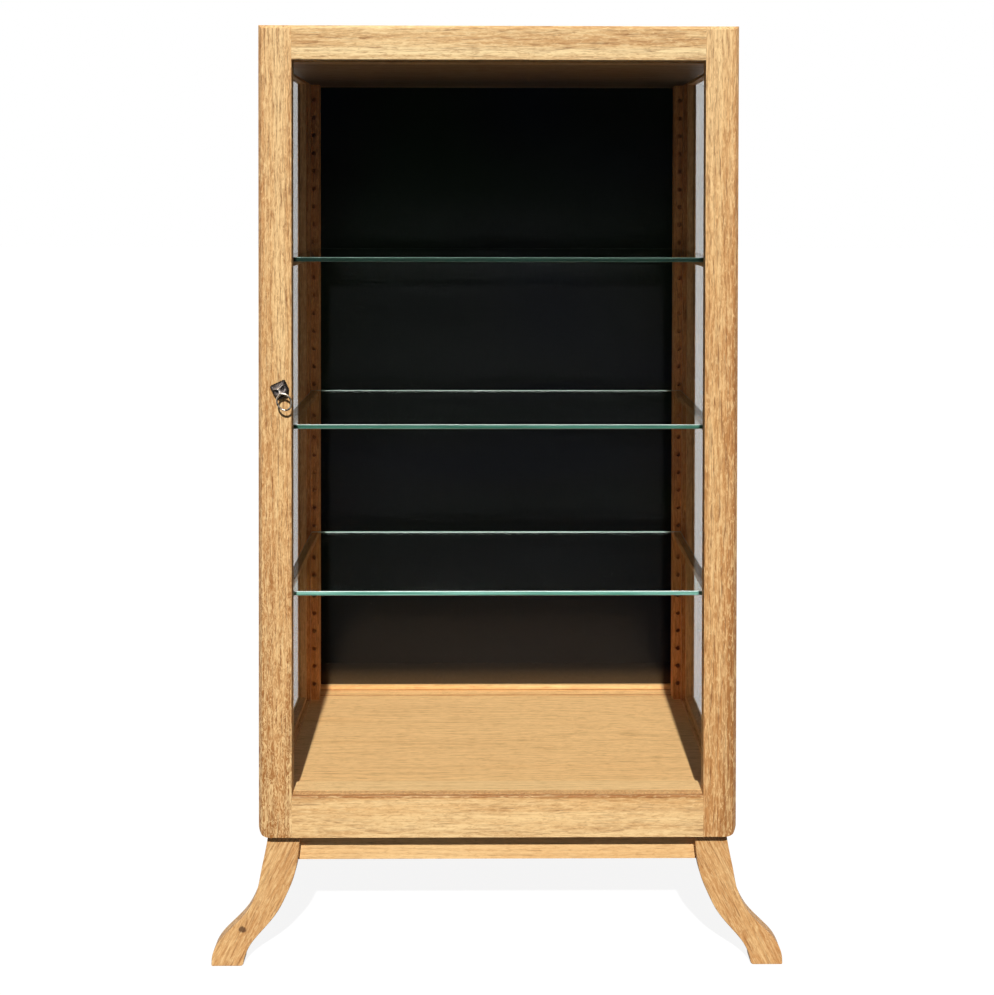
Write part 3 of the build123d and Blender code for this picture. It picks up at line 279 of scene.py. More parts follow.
# Patterns in the wood: how often each repeats per metre, along and across the grain, and its noise settings
OAK_PATTERNS = {
    "slow_sway": (1.6, 9.0, {"detail": 2.0}),
    "fast_sway": (7.0, 26.0, {"detail": 1.0}),
    "pores": (30.0, 520.0, {"detail": 2.0, "roughness": 0.6}),
    "fine_pores": (60.0, 1300.0, {"detail": 2.0, "roughness": 0.6}),
    "fibre": (12.0, 290.0, {"detail": 3.0, "roughness": 0.6, "distortion": 0.3}),
    "short": (62.0, 280.0, {"detail": 3.0, "roughness": 0.7, "distortion": 0.9}),
    "streaks": (2.4, 95.0, {"detail": 3.0, "roughness": 0.65, "distortion": 0.3}),
    "broad": (0.8, 26.0, {"detail": 3.0, "roughness": 0.55}),
    "patches": (2.2, 5.0, {"detail": 1.0}),
    "rays": (30.0, 92.0, {"detail": 2.0, "roughness": 0.55, "distortion": 2.0}),
}

# Marks on the wood, in the order in which they are laid over one another: the pattern, the value at which
# the mark doesn't show, the value at which it fully shows, how strong it is, and its shade
OAK_MARKS = (
    ("streaks", 0.50, 0.34, 0.26, "streak"),
    ("streaks", 0.52, 0.68, 0.36, "light"),
    ("fibre", 0.52, 0.66, 0.40, "light"),
    ("fibre", 0.46, 0.32, 0.36, "streak"),
    ("short", 0.51, 0.62, 0.50, "light"),
    ("short", 0.47, 0.36, 0.42, "streak"),
)

# The other marks. An edge is the two values at which a mark doesn't show and fully shows.
RING_STRENGTH = 0.28
PORE_EDGE = (0.53, 0.64)
PORE_STRENGTH = 0.62
LATE_PORES = 0.30
EARLY_PORES = 0.70
FINE_PORE_EDGE = (0.55, 0.70)
FINE_PORE_STRENGTH = 0.16
# How dark the painted shade at the back of the case gets
PAINTED_SHADE_STRENGTH = 0.86
KNOT_EDGE = (0.60, 0.82)
KNOT_STRENGTH = 0.85

# Rays: how strong they are by height above the floor, and where in their ripple the flecks and hollows lie
RAY_STRENGTHS = ((0.40, 0.9), (0.90, 0.40))
RAY_FLECKS = ((0.42, 0.0), (0.47, 1.0), (0.52, 0.0), (0.60, 0.0), (0.65, 1.0))
RAY_HOLLOWS = ((0.37, 1.0), (0.41, 0.0), (0.53, 0.0), (0.56, 0.9), (0.60, 0.0))
HOLLOW_STRENGTH = 0.7

# The wax: how rough it is, and how much rougher over pores and patches
OAK_ROUGHNESS = 0.44
PORE_ROUGHNESS = 0.25
PATCH_ROUGHNESS = 0.12
OAK_SPECULAR = 0.35
OAK_RELIEF = 0.00025
OAK_RELIEF_STRENGTH = 0.6
FIBRE_RELIEF = 0.5


def oak_shades(lift, amber):
    """The oak's colours on one board. A lift stops where red would be brighter than white."""
    tint = (1.0, (1 + amber) / 2, amber)
    shades = {}
    for name, shade in OAK_SHADES.items():
        gain = min(lift, 255 / shade[0])
        shades[name] = srgb(*(value * gain * part for value, part in zip(shade, tint)))
    return shades


def oak_pattern(tree, turned, name):
    """One of the patterns in the wood, from 0 to 1."""
    along, across, settings = OAK_PATTERNS[name]
    return noise(tree, stretched(tree, turned, along, across), **settings)


def nearness_to_knot(tree, place, knot):
    """One at the heart of a knot and less around it, with an uneven edge."""
    uneven = swing(tree, noise(tree, place, KNOT_NOISE_SCALE, detail=1.0), KNOT_UNEVENNESS)
    away = calc(tree, "MAXIMUM", plus(tree, distance(tree, place, knot), uneven), 0.0)
    fall = calc(tree, "POWER", over(tree, away, KNOT_RADIUS), 2.0)
    return over(tree, 1.0, plus(tree, 1.0, fall))


def early_wood(tree, turned, pith, near_knot):
    """One in the open wood at the start of each year, and zero in the dense wood at its end."""
    slow = swing(tree, oak_pattern(tree, turned, "slow_sway"), SLOW_SWAY)
    sway = plus(tree, slow, swing(tree, oak_pattern(tree, turned, "fast_sway"), FAST_SWAY))
    spot = split(tree, turned)
    across = plus(tree, plus(tree, spot[Y], pith[0]), sway)
    through = plus(tree, plus(tree, spot[Z], pith[1]), sway)
    squares = plus(tree, calc(tree, "POWER", across, 2.0), calc(tree, "POWER", through, 2.0))
    years = over(tree, calc(tree, "SQRT", squares), RING_SPACING)
    if near_knot is not None:
        years = plus(tree, years, times(tree, near_knot, KNOT_YEARS))
    return ramp(tree, calc(tree, "FRACT", years), *YEAR_STOPS)


def board_depth(tree, place, box, patterns, tone, contrast, drift, bands):
    """How deep the board's ground colour is at each place, about 0 for the lightest and 1 for the deepest."""
    unrest = CALM_SHARE + LIVELY_SHARE * contrast
    broad = swing(tree, patterns["broad"], BROAD_REACH * unrest)
    depth = plus(tree, broad, swing(tree, patterns["patches"], PATCH_REACH * unrest))
    depth = plus(tree, depth, 1.0 - tone)
    # Painted light: the board is painted lighter higher up, where more light fell on it
    if drift:
        above = minus(tree, split(tree, place)[Z], PAINTED_LIGHT_FROM_HEIGHT)
        depth = minus(tree, depth, times(tree, above, drift))
    for axis, side, offset, half_width, change in bands:
        centre = box[side][axis] + offset
        away = over(tree, minus(tree, split(tree, place)[axis], centre), half_width)
        fall = calc(tree, "POWER", calc(tree, "ABSOLUTE", away), BAND_EDGE_POWER)
        depth = plus(tree, depth, over(tree, change, plus(tree, 1.0, fall)))
    return depth


def with_rays(tree, turned, place, colour, shades, rays):
    """A colour with the wavy flecks of quarter-sawn wood, which show most low down on the board."""
    ripple = oak_pattern(tree, turned, "rays")
    strength = times(tree, ramp(tree, split(tree, place)[Z], *RAY_STRENGTHS), rays)
    flecks = times(tree, ramp(tree, ripple, *RAY_FLECKS), strength)
    colour = mix(tree, flecks, colour, shades["light"])
    hollows = times(tree, ramp(tree, ripple, *RAY_HOLLOWS), times(tree, strength, HOLLOW_STRENGTH))
    return mix(tree, hollows, colour, shades["streak"])


def oak(name, box, turn, seed, tone=0.5, contrast=1.0, rays=0.0, pith=(0.09, 0.05), knot=None, lift=1.0,
        drift=0.0, amber=1.0, bands=(), stain=None):
    """Waxed oak for a board that fills a box. turn lays the grain along the piece, seed picks the board, and
    pith is how far off the tree's centre was, across the board and through it. tone is how light the board
    is, and contrast how lively. rays are the flecks of quarter-sawn wood, lift makes the whole board lighter,
    and under 1 darker, which inside the case is painted shade. drift makes the board lighter
    towards its top, per metre, as painted light. Under 1, amber takes blue and green away. bands are
    described above LEFT_STILE_BANDS. stain is an axis, a side of the board, and the two offsets from
    there between which painted shade darkens it."""
    material, tree, shader = new_material(name)
    shades = oak_shades(lift, amber)
    place = object_coordinates(tree)
    turned = mapped(tree, place, Rotation=turn, Location=seed)
    patterns = {key: oak_pattern(tree, turned, key)
                for key in ("pores", "fine_pores", "fibre", "short", "streaks", "broad", "patches")}
    near_knot = nearness_to_knot(tree, place, knot) if knot else None
    early = early_wood(tree, turned, pith, near_knot)
    in_year = plus(tree, LATE_PORES, times(tree, early, EARLY_PORES))
    pores = times(tree, mark(tree, patterns["pores"], *PORE_EDGE), in_year)

    depth = board_depth(tree, place, box, patterns, tone, contrast, drift, bands)
    colour = ramp(tree, depth, *((stop, shades[shade]) for stop, shade in OAK_DEPTHS))
    colour = mix(tree, times(tree, early, RING_STRENGTH * contrast), colour, shades["streak"])
    for pattern, none, full, strength, shade in OAK_MARKS:
        shown = times(tree, mark(tree, patterns[pattern], none, full), strength * contrast)
        colour = mix(tree, shown, colour, shades[shade])
    fine_pores = times(tree, mark(tree, patterns["fine_pores"], *FINE_PORE_EDGE), FINE_PORE_STRENGTH)
    colour = mix(tree, fine_pores, colour, shades["pore"])
    colour = mix(tree, times(tree, pores, PORE_STRENGTH * contrast), colour, shades["pore"])
    if rays:
        colour = with_rays(tree, turned, place, colour, shades, rays)
    # Painted shade: the board darkens towards the back of the case, where less light reaches
    if stain:
        axis, side, unshaded_offset, shaded_offset = stain
        start = box[side][axis] + unshaded_offset
        reach = over(tree, minus(tree, split(tree, place)[axis], start), shaded_offset - unshaded_offset)
        colour = mix(tree, ramp(tree, reach, (0.0, 0.0), (1.0, PAINTED_SHADE_STRENGTH)), colour, srgb(*PAINTED_SHADE_COLOUR))
    if knot:
        heart = times(tree, mark(tree, near_knot, *KNOT_EDGE), KNOT_STRENGTH)
        colour = mix(tree, heart, colour, srgb(*KNOT_SHADE))

    relief = minus(tree, times(tree, patterns["fibre"], FIBRE_RELIEF), pores)
    normal = bump(tree, relief, OAK_RELIEF, OAK_RELIEF_STRENGTH)
    roughness = plus(tree, OAK_ROUGHNESS, times(tree, pores, PORE_ROUGHNESS))
    roughness = plus(tree, roughness, times(tree, patterns["patches"], PATCH_ROUGHNESS))
    drive(tree, shader, Base_Color=colour, Roughness=roughness, Normal=normal)
    shader.inputs["Specular IOR Level"].default_value = OAK_SPECULAR
    return material


# Bands along a board that are lighter or darker: the axis across the band, the side of the board that it is
# measured from, its middle's offset from there, its half width and how much darker the board is there
LEFT_STILE_BANDS = ((X, LOW, 0.039, 0.011, -0.26), (X, LOW, 0.0005, 0.006, 0.34))
RIGHT_STILE_BANDS = ((X, LOW, 0.015, 0.013, -0.20), (X, HIGH, -0.003, 0.010, 0.20))
TOP_RAIL_BANDS = ((Z, LOW, 0.017, 0.006, -0.20), (Z, HIGH, -0.028, 0.007, 0.12))
# A painted shadow line along the bottom rail's top edge, below the glass
BOTTOM_RAIL_SHADOW_LINE = ((Z, HIGH, 0.0, 0.0032, 0.75),)
FLOOR_BANDS = (
    (Y, HIGH, -0.075, 0.030, -0.30),
    (Y, HIGH, -0.0105, 0.004, 0.95),
    (Y, HIGH, -0.039, 0.0032, 0.80),
)

# Each board: how its grain is turned, and its look

OAK_BOARDS = {
    # The door stiles carry painted light that rises towards their tops
    "door_stile_left": (GRAIN_Z, {"tone": 0.36, "rays": 0.66, "contrast": 1.35, "pith": (0.30, 0.02),
                                  "drift": 0.42, "bands": LEFT_STILE_BANDS}),
    "door_stile_right": (GRAIN_Z, {"tone": 0.33, "contrast": 1.15, "pith": (0.35, 0.03), "drift": 0.38,
                                   "bands": RIGHT_STILE_BANDS}),
    "door_rail_top": (GRAIN_X, {"tone": 0.56, "pith": (0.05, -1.62), "lift": 1.01, "amber": 1.09,
                                "bands": TOP_RAIL_BANDS}),
    "door_rail_bottom": (GRAIN_X, {"tone": 0.66, "contrast": 0.85, "pith": (0.06, -0.21), "lift": 1.02,
                                   "amber": 1.04, "bands": BOTTOM_RAIL_SHADOW_LINE}),
    "apron_front": (GRAIN_X, {"tone": 0.66, "contrast": 0.6, "lift": 1.05}),
    "apron_rear": (GRAIN_X, {"tone": 0.55}),
    "apron_left": (GRAIN_Y, {"tone": 0.52}),
    "apron_right": (GRAIN_Y, {"tone": 0.50}),
    "stand_corner_blocks": (GRAIN_X, {"tone": 0.45}),
    "floor_board": (GRAIN_X, {"tone": 0.84, "contrast": 0.65, "lift": 1.08, "amber": 0.93,
                              "bands": FLOOR_BANDS}),
    "floor_bearers": (GRAIN_X, {"tone": 0.45}),
    "floor_fillet_rear": (GRAIN_X, {"tone": 0.60, "contrast": 0.6, "lift": 1.06}),
    # The ceiling board is lifted under one and, with the top rear rail, darkens towards the back: painted
    # shade inside the case
    "ceiling_board": (GRAIN_X, {"tone": 0.30, "contrast": 0.8, "lift": 0.84,
                                "stain": (Y, LOW, -0.006, 0.314)}),
    "top_board": (GRAIN_X, {"tone": 0.50, "pith": (0.12, -1.60)}),
    "front_rail_bottom": (GRAIN_X, {"tone": 0.86, "contrast": 0.5, "lift": 1.10, "amber": 0.98}),
    "front_rail_top": (GRAIN_X, {"tone": 0.48}),
    "rear_rail_bottom": (GRAIN_X, {"tone": 0.46}),
    "rear_rail_top": (GRAIN_X, {"tone": 0.40, "stain": (Y, LOW, -0.216, -0.066)}),
    "shelf_pegs": (GRAIN_Y, {"tone": 0.44, "contrast": 0.6}),
    "shelf_cleats": (GRAIN_Y, {"tone": 0.46, "contrast": 0.7}),
    "door_beads": (GRAIN_Z, {"tone": 0.45, "contrast": 0.7}),
}
for side, leg_lean in (("left", -LEG_LEAN), ("right", LEG_LEAN)):
    OAK_BOARDS[f"side_stile_front_{side}"] = (GRAIN_Z, {"tone": 0.47})
    # Painted shade: the rear stiles inside the case are lifted under one, darker than the outer boards
    OAK_BOARDS[f"side_stile_rear_{side}"] = (GRAIN_Z, {"tone": 0.36, "lift": 0.90, "amber": 0.84})
    OAK_BOARDS[f"side_rail_bottom_{side}"] = (GRAIN_Y, {"tone": 0.50})
    OAK_BOARDS[f"side_rail_top_{side}"] = (GRAIN_Y, {"tone": 0.46})
    OAK_BOARDS[f"side_beads_{side}"] = (GRAIN_Z, {"tone": 0.45, "contrast": 0.7})
    # Painted shade: the peg strips inside the case are lifted under one
    OAK_BOARDS[f"peg_strip_front_{side}"] = (GRAIN_Z, {"tone": 0.36, "lift": 0.88, "amber": 0.88})
    OAK_BOARDS[f"peg_strip_rear_{side}"] = (GRAIN_Z, {"tone": 0.38, "lift": 0.96, "amber": 0.80})
    for end in ("front", "rear"):
        leg_turn = (0.0, math.pi / 2 + leg_lean, 0.0)
        OAK_BOARDS[f"leg_{end}_{side}"] = (leg_turn, {"tone": 0.38, "contrast": 0.9})
OAK_BOARDS["leg_front_left"][1]["knot"] = KNOT_PLACE

# Each board is cut from another place in the wood, so that no two have the same grain
SEED_STEP = (0.731, 0.377, 0.593)
SEED_ROOM = 3.0
for number, (board, (turn, look)) in enumerate(sorted(OAK_BOARDS.items())):
    board_seed = tuple(number * step % SEED_ROOM for step in SEED_STEP)
    dress(board, oak(f"oak_{board}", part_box(board), turn, board_seed, **look))


# Paint and metals

PAINT_DARK = (5, 6, 7)
PAINT_LIGHT = (13, 13, 13)
PAINT_ROUGHNESS = 0.19
PAINT_SPECULAR = 0.15
STROKE_STRETCH = (3.0, 260.0)
STROKE_ROUGHNESS = 0.06
STROKE_RELIEF = 0.00002
STROKE_RELIEF_STRENGTH = 0.2

# A painted reflection of the oak floor on the paint: how strong it is by height above the case's floor, and
# how patchy it is
FLOOR_REFLECTION_SHADE = (84, 66, 44)
MOTTLE_GRAIN = 160.0
FLOOR_REFLECTION_START = 0.004
FLOOR_REFLECTION_HEIGHT = 0.08
FLOOR_REFLECTION_STOPS = ((0.0, 1.0), (0.28, 0.60), (0.50, 0.1), (0.7, 0.0))
FLOOR_REFLECTION_LEAST = 0.45
FLOOR_REFLECTION_PATCHINESS = 0.5


def black_paint():
    """Gloss black paint over a board, with brush marks, a mottle, and a painted reflection of the oak floor
    low down.
    """
    material, tree, shader = new_material("black_paint")
    place = object_coordinates(tree)
    strokes = noise(tree, stretched(tree, mapped(tree, place, Rotation=GRAIN_Z), *STROKE_STRETCH), detail=3.0)
    mottle = noise(tree, place, MOTTLE_GRAIN, detail=3.0, roughness=0.7)
    colour = mix(tree, mottle, srgb(*PAINT_DARK), srgb(*PAINT_LIGHT))
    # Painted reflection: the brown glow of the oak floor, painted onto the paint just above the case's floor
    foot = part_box("floor_board")[HIGH][Z] + FLOOR_REFLECTION_START
    rise = over(tree, minus(tree, split(tree, place)[Z], foot), FLOOR_REFLECTION_HEIGHT)
    patchy = plus(tree, FLOOR_REFLECTION_LEAST, times(tree, mottle, FLOOR_REFLECTION_PATCHINESS))
    colour = mix(tree, times(tree, ramp(tree, rise, *FLOOR_REFLECTION_STOPS), patchy), colour, srgb(*FLOOR_REFLECTION_SHADE))
    roughness = plus(tree, PAINT_ROUGHNESS, times(tree, strokes, STROKE_ROUGHNESS))
    normal = bump(tree, strokes, STROKE_RELIEF, STROKE_RELIEF_STRENGTH)
    drive(tree, shader, Base_Color=colour, Roughness=roughness, Normal=normal)
    shader.inputs["Specular IOR Level"].default_value = PAINT_SPECULAR
    return material


METAL_GRAIN = 220.0
METAL_SPECKS = 9
METAL_RELIEF = 0.0001
METAL_RELIEF_STRENGTH = 0.5
METAL_DULL_AT = 0.35
METAL_BRIGHT_AT = 0.65
METAL_POLISH_REACH = 0.35


def metal(name, bright, dull, roughness, grain=METAL_GRAIN):
    """A worn metal whose colour, gloss and surface change in small patches, grain of them per metre."""
    material, tree, shader = new_material(name)
    place = object_coordinates(tree)
    patches = noise(tree, place, grain, detail=4.0, roughness=0.6)
    specks = noise(tree, place, grain * METAL_SPECKS)
    colour = ramp(tree, patches, (METAL_DULL_AT, srgb(*dull)), (METAL_BRIGHT_AT, srgb(*bright)))
    polish = plus(tree, roughness, swing(tree, patches, METAL_POLISH_REACH))
    normal = bump(tree, specks, METAL_RELIEF, METAL_RELIEF_STRENGTH)
    drive(tree, shader, Base_Color=colour, Roughness=polish, Normal=normal)
    shader.inputs["Metallic"].default_value = 1.0
    return material


dress("back_panel", black_paint())
brass = metal("brass", bright=(214, 176, 106), dull=(160, 118, 60), roughness=0.32)
# The bronze's pale patches are painted highlights on the ring as well as worn metal, and its dark patches are
# painted shade as well as tarnish
bronze = metal("bronze", bright=(240, 226, 208), dull=(46, 38, 34), roughness=0.34, grain=150.0)
steel = metal("steel", bright=(186, 184, 180), dull=(140, 138, 134), roughness=0.36)
zinc = metal("zinc", bright=(150, 150, 150), dull=(112, 112, 112), roughness=0.45)
for finish, nodes in (
    (brass, ("hinge_case_leaves", "hinge_door_leaves", "hinge_pins")),
    (brass, ("hinge_case_screws", "hinge_door_screws")),
    (bronze, ("handle_ring", "handle_mask")),
    (steel, ("handle_bolt", "handle_nut", "catch_strikes")),
    (steel, ("catch_strike_screws", "case_screws", "stand_screws")),
    (zinc, ("catch_magnets",)),
):
    for node in nodes:
        dress(node, finish)


# The lion mask of the pull

PULL_PLACE = (-0.389, -0.244, 1.053)
PULL_TILT = math.radians(25)
MM_PER_METRE = 1000

# The mask's form, in millimetres from its middle and from the door
MASK_HALF_WIDTH = 14.7
MASK_HALF_HEIGHT = 15.2
MASK_JAW_HALF_WIDTH = 8.0
MASK_CHEEK_DROP = 5.0
MASK_CORNER_REACH = 15.6
MASK_BLUNTNESS = 7
MASK_SCALLOPS = 26
MASK_SCALLOP_DEPTH = 0.015
MASK_RIM = 3.0
MASK_DOME = 6.5
MASK_DOME_POWER = 2.6
MASK_LOWEST = 0.3
MASK_HIGHEST = 21.8
MASK_TURNS = 144
MASK_STEPS = 56
NEVER_ZERO = 1e-6

# The mane begins this far out. Its locks have a height, a number round the head and a slant.
MANE_START = 0.62
MANE_HEIGHT = 2.4
MANE_LOCKS = ((0.55, 24, 3.0), (0.35, 37, -2.0))

# The face, which is the same on both sides. A mound has a place, a spread and a height, and a ridge has a
# start, an end, a half width and a height. Where the height is under zero, it is a hollow.
FACE_MOUNDS = {
    "forehead": ((0, 8.5), (8.0, 5.0), 2.2),
    "ear": ((11.3, 11.8), (2.5, 2.4), 2.6),
    "ear_hollow": ((11.3, 11.8), (1.1, 1.0), -2.4),
    "eye_socket": ((5.6, 2.0), (3.0, 2.3), -3.6),
    "eye": ((5.7, 2.1), (1.5, 1.1), 2.6),
    "nose_tip": ((0, -3.2), (3.2, 2.3), 3.6),
    "nostril": ((1.5, -4.4), (0.8, 0.7), -1.6),
    "muzzle": ((3.4, -6.4), (3.6, 3.4), 7.4),
    "chin": ((0, -12.4), (4.2, 1.9), 3.0),
    "cheek": ((9.2, -2.6), (3.0, 3.6), 2.2),
}
FACE_RIDGES = {
    "brow": ((1.6, 4.9), (8.8, 7.6), 1.7, 3.4),
    "lower_wrinkle": ((0.6, 10.2), (7.0, 11.6), 0.9, 1.2),
    "upper_wrinkle": ((0.4, 12.6), (5.0, 13.6), 0.8, 0.9),
    "nose": ((0, 4.5), (0, -3.0), 2.5, 6.2),
    "lip_cleft": ((0, -5.0), (0, -9.0), 0.7, -2.4),
    "mouth": ((0.0, -9.4), (5.2, -9.9), 1.3, -3.6),
}

# Wear of the mask, partly painted highlight: black up to the first rise above the door, and bright at the
# second rise above that, where rubbed metal and painted highlights are one
PEWTER_DARK_RISE = 0.005
PEWTER_BRIGHT_RISE = 0.015
PEWTER_SHADES = (
    (0.12, (20, 17, 17)),
    (0.36, (108, 98, 94)),
    (0.58, (176, 166, 160)),
    (0.82, (252, 246, 240)),
)
PEWTER_WEAR_AND_HIGHLIGHT = 0.95
PEWTER_PATCHES = 420.0
PEWTER_PATCH_REACH = 0.6
PEWTER_SPECKS = 2600.0
PEWTER_ROUGHNESS = 0.52
PEWTER_POLISH = 0.25
PEWTER_RELIEF = 0.00008
PEWTER_RELIEF_STRENGTH = 0.5
PEWTER_METALLIC = 0.7


def mound(u, v, place, spread, height):
    """A rounded rise of the mask."""
    return height * math.exp(-(((u - place[0]) / spread[0]) ** 2) - ((v - place[1]) / spread[1]) ** 2)


def ridge(u, v, start, end, half_width, height):
    """A rounded rise along a line of the mask."""
    run = (end[0] - start[0], end[1] - start[1])
    share = ((u - start[0]) * run[0] + (v - start[1]) * run[1]) / (run[0] ** 2 + run[1] ** 2)
    share = max(0.0, min(1.0, share))
    away = math.hypot(u - start[0] - share * run[0], v - start[1] - share * run[1])
    return height * math.exp(-((away / half_width) ** 2))


def mask_edge(angle):
    """How far the outline is from the middle: straight sides and top, cheeks that narrow to the jaw."""
    across, up = math.cos(angle), math.sin(angle)
    far = MASK_HALF_WIDTH / max(abs(across), NEVER_ZERO)
    far = min(far, MASK_HALF_HEIGHT / max(abs(up), NEVER_ZERO))
    if up < 0:
        slope = (MASK_HALF_WIDTH - MASK_JAW_HALF_WIDTH) / (MASK_HALF_HEIGHT - MASK_CHEEK_DROP)
        far = min(far, (MASK_HALF_WIDTH + MASK_CHEEK_DROP * slope) / (abs(across) + slope * abs(up)))
    blunt = (abs(across) ** MASK_BLUNTNESS + abs(up) ** MASK_BLUNTNESS) ** (1 / MASK_BLUNTNESS)
    scallop = 1 - MASK_SCALLOP_DEPTH + MASK_SCALLOP_DEPTH * math.cos(MASK_SCALLOPS * angle)
    return min(far, MASK_CORNER_REACH / blunt) * scallop


def mask_height(u, v, share, angle):
    """The relief of the lion's face above the door, at a share of the way from the middle to the edge."""
    height = MASK_RIM + MASK_DOME * math.sqrt(max(0.0, 1 - share ** MASK_DOME_POWER))
    height += sum(mound(abs(u), v, *form) for form in FACE_MOUNDS.values())
    height += sum(ridge(abs(u), v, *form) for form in FACE_RIDGES.values())
    mane = max(0.0, share - MANE_START) * MANE_HEIGHT
    height += mane * sum(rise * math.sin(angle * count + slant * share) for rise, count, slant in MANE_LOCKS)
    return max(MASK_LOWEST, min(height, MASK_HIGHEST))


def mask_points():
    """The mask's points: its middle, the rings out to its edge, and the ring where it meets the door."""
    tilt = Matrix.Rotation(-PULL_TILT, 3, "Y")
    right, up, out = tilt @ Vector((1, 0, 0)), tilt @ Vector((0, 0, 1)), Vector((0, -1, 0))
    angles = [math.tau * turn / MASK_TURNS for turn in range(MASK_TURNS)]

    def place(u, v, height):
        return tuple(Vector(PULL_PLACE) + (right * u + up * v + out * height) / MM_PER_METRE)

    points = [place(0, 0, mask_height(0, 0, 0, 0))]
    for step in range(1, MASK_STEPS + 1):
        share = step / MASK_STEPS
        for angle in angles:
            far = mask_edge(angle) * share
            u, v = far * math.cos(angle), far * math.sin(angle)
            points.append(place(u, v, mask_height(u, v, share, angle)))
    points += [place(mask_edge(angle) * math.cos(angle), mask_edge(angle) * math.sin(angle), 0.0)
               for angle in angles]
    return points


def mask_faces():
    """The mask's faces: a fan round the middle, four-sided faces between the rings, and the flat back."""
    turns = range(MASK_TURNS)

    def corner(ring, turn):
        """The number of a point, after the one in the middle."""
        return 1 + ring * MASK_TURNS + turn % MASK_TURNS

    faces = [(0, corner(0, turn + 1), corner(0, turn)) for turn in turns]
    for ring in range(MASK_STEPS):
        for turn in turns:
            inner = (corner(ring, turn), corner(ring, turn + 1))
            outer = (corner(ring + 1, turn + 1), corner(ring + 1, turn))
            faces.append(inner + outer)
    faces.append(tuple(corner(MASK_STEPS, turn) for turn in turns))
    return faces


def pewter():
    """Dark antique metal, black in its hollows, and bright on its raised parts with rubbing and painted
    highlights.
    """
    material, tree, shader = new_material("antique_pewter")
    place = object_coordinates(tree)
    black_at = PULL_PLACE[Y] - PEWTER_DARK_RISE
    raised = over(tree, minus(tree, black_at, split(tree, place)[Y]), PEWTER_BRIGHT_RISE)
    patches = noise(tree, place, PEWTER_PATCHES, detail=4.0, roughness=0.65)
    # Rubbed wear and painted highlights: the higher the relief, the brighter the colour
    worn = plus(tree, times(tree, raised, PEWTER_WEAR_AND_HIGHLIGHT), swing(tree, patches, PEWTER_PATCH_REACH))
    colour = ramp(tree, worn, *((stop, srgb(*shade)) for stop, shade in PEWTER_SHADES))
    polish = minus(tree, PEWTER_ROUGHNESS, times(tree, worn, PEWTER_POLISH))
    normal = bump(tree, noise(tree, place, PEWTER_SPECKS), PEWTER_RELIEF, PEWTER_RELIEF_STRENGTH)
    drive(tree, shader, Base_Color=colour, Roughness=polish, Normal=normal)
    shader.inputs["Metallic"].default_value = PEWTER_METALLIC
    return material


def lion_mask():
    """The pull's mask, a small cast lion's face with a mane round its edge."""
    mesh = bpy.data.meshes.new("lion_mask")
    mesh.from_pydata(mask_points(), [], mask_faces())
    mesh.update()
    mesh.shade_smooth()
    piece = bpy.data.objects.new("lion_mask", mesh)
    bpy.context.scene.collection.objects.link(piece)
    mesh.materials.append(pewter())
    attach(piece, "door")
    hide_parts("handle_mask")


lion_mask()


# Glass

CLEAR_TINT = (0.995, 0.995, 0.99, 1.0)
PANE_TINT = (0.995, 1.0, 0.995, 1.0)
PANE_IOR = 1.45
PANE_SMEAR = 0.035
SHELF_TINT = (0.90, 0.97, 0.94, 1.0)
SHELF_IOR = 1.5
SHELF_SMEAR = 0.04

# Smears on the glass: how they stretch, and the noise values at which they begin and are full
SMEAR_STRETCH = (9.0, 3.0)
SMEAR_START = 0.45
SMEAR_END = 0.8

# A shelf's edges. Over the first value, a normal is upright enough for an arris, and over the second for a
# flat face. The rear edges lie beyond the given y and are painted paler, as painted light on them.
ARRIS_UPRIGHT = 0.3
FACE_UPRIGHT = 0.9
EDGE_STREAKS = (5.0, 300.0)
EDGE_DARK_AT = 0.35
EDGE_LIGHT_AT = 0.65
REAR_EDGE_Y = 0.1
REAR_EDGE_PAINTED_LIGHT = (214, 232, 224)
REAR_EDGE_LIGHT_STRENGTH = 0.45
EDGE_ROUGHNESS = 0.3


def let_light_through(tree, shader):
    """Lamps and scattered light shine through this glass, so that what stands behind it is lit just once."""
    path = add(tree, "ShaderNodeLightPath")
    clear = add(tree, "ShaderNodeBsdfTransparent", {"Color": CLEAR_TINT}).outputs[0]
    lamps = mix_shaders(tree, path.outputs["Is Shadow Ray"], shader, clear)
    show(tree, mix_shaders(tree, path.outputs["Is Diffuse Ray"], lamps, clear))


def make_clear(tree, shader, tint, ior, most_smear):
    """Turn a shader into clear glass with faint smears."""
    smears = noise(tree, stretched(tree, object_coordinates(tree), *SMEAR_STRETCH), detail=5.0, roughness=0.6)
    drive(tree, shader, Roughness=ramp(tree, smears, (SMEAR_START, 0.0), (SMEAR_END, most_smear)))
    shader.inputs["Base Color"].default_value = tint
    shader.inputs["Transmission Weight"].default_value = 1.0
    shader.inputs["IOR"].default_value = ior


def pane_glass(name):
    """Clear window glass."""
    material, tree, shader = new_material(name)
    make_clear(tree, shader, PANE_TINT, PANE_IOR, PANE_SMEAR)
    let_light_through(tree, shader.outputs[0])
    return material


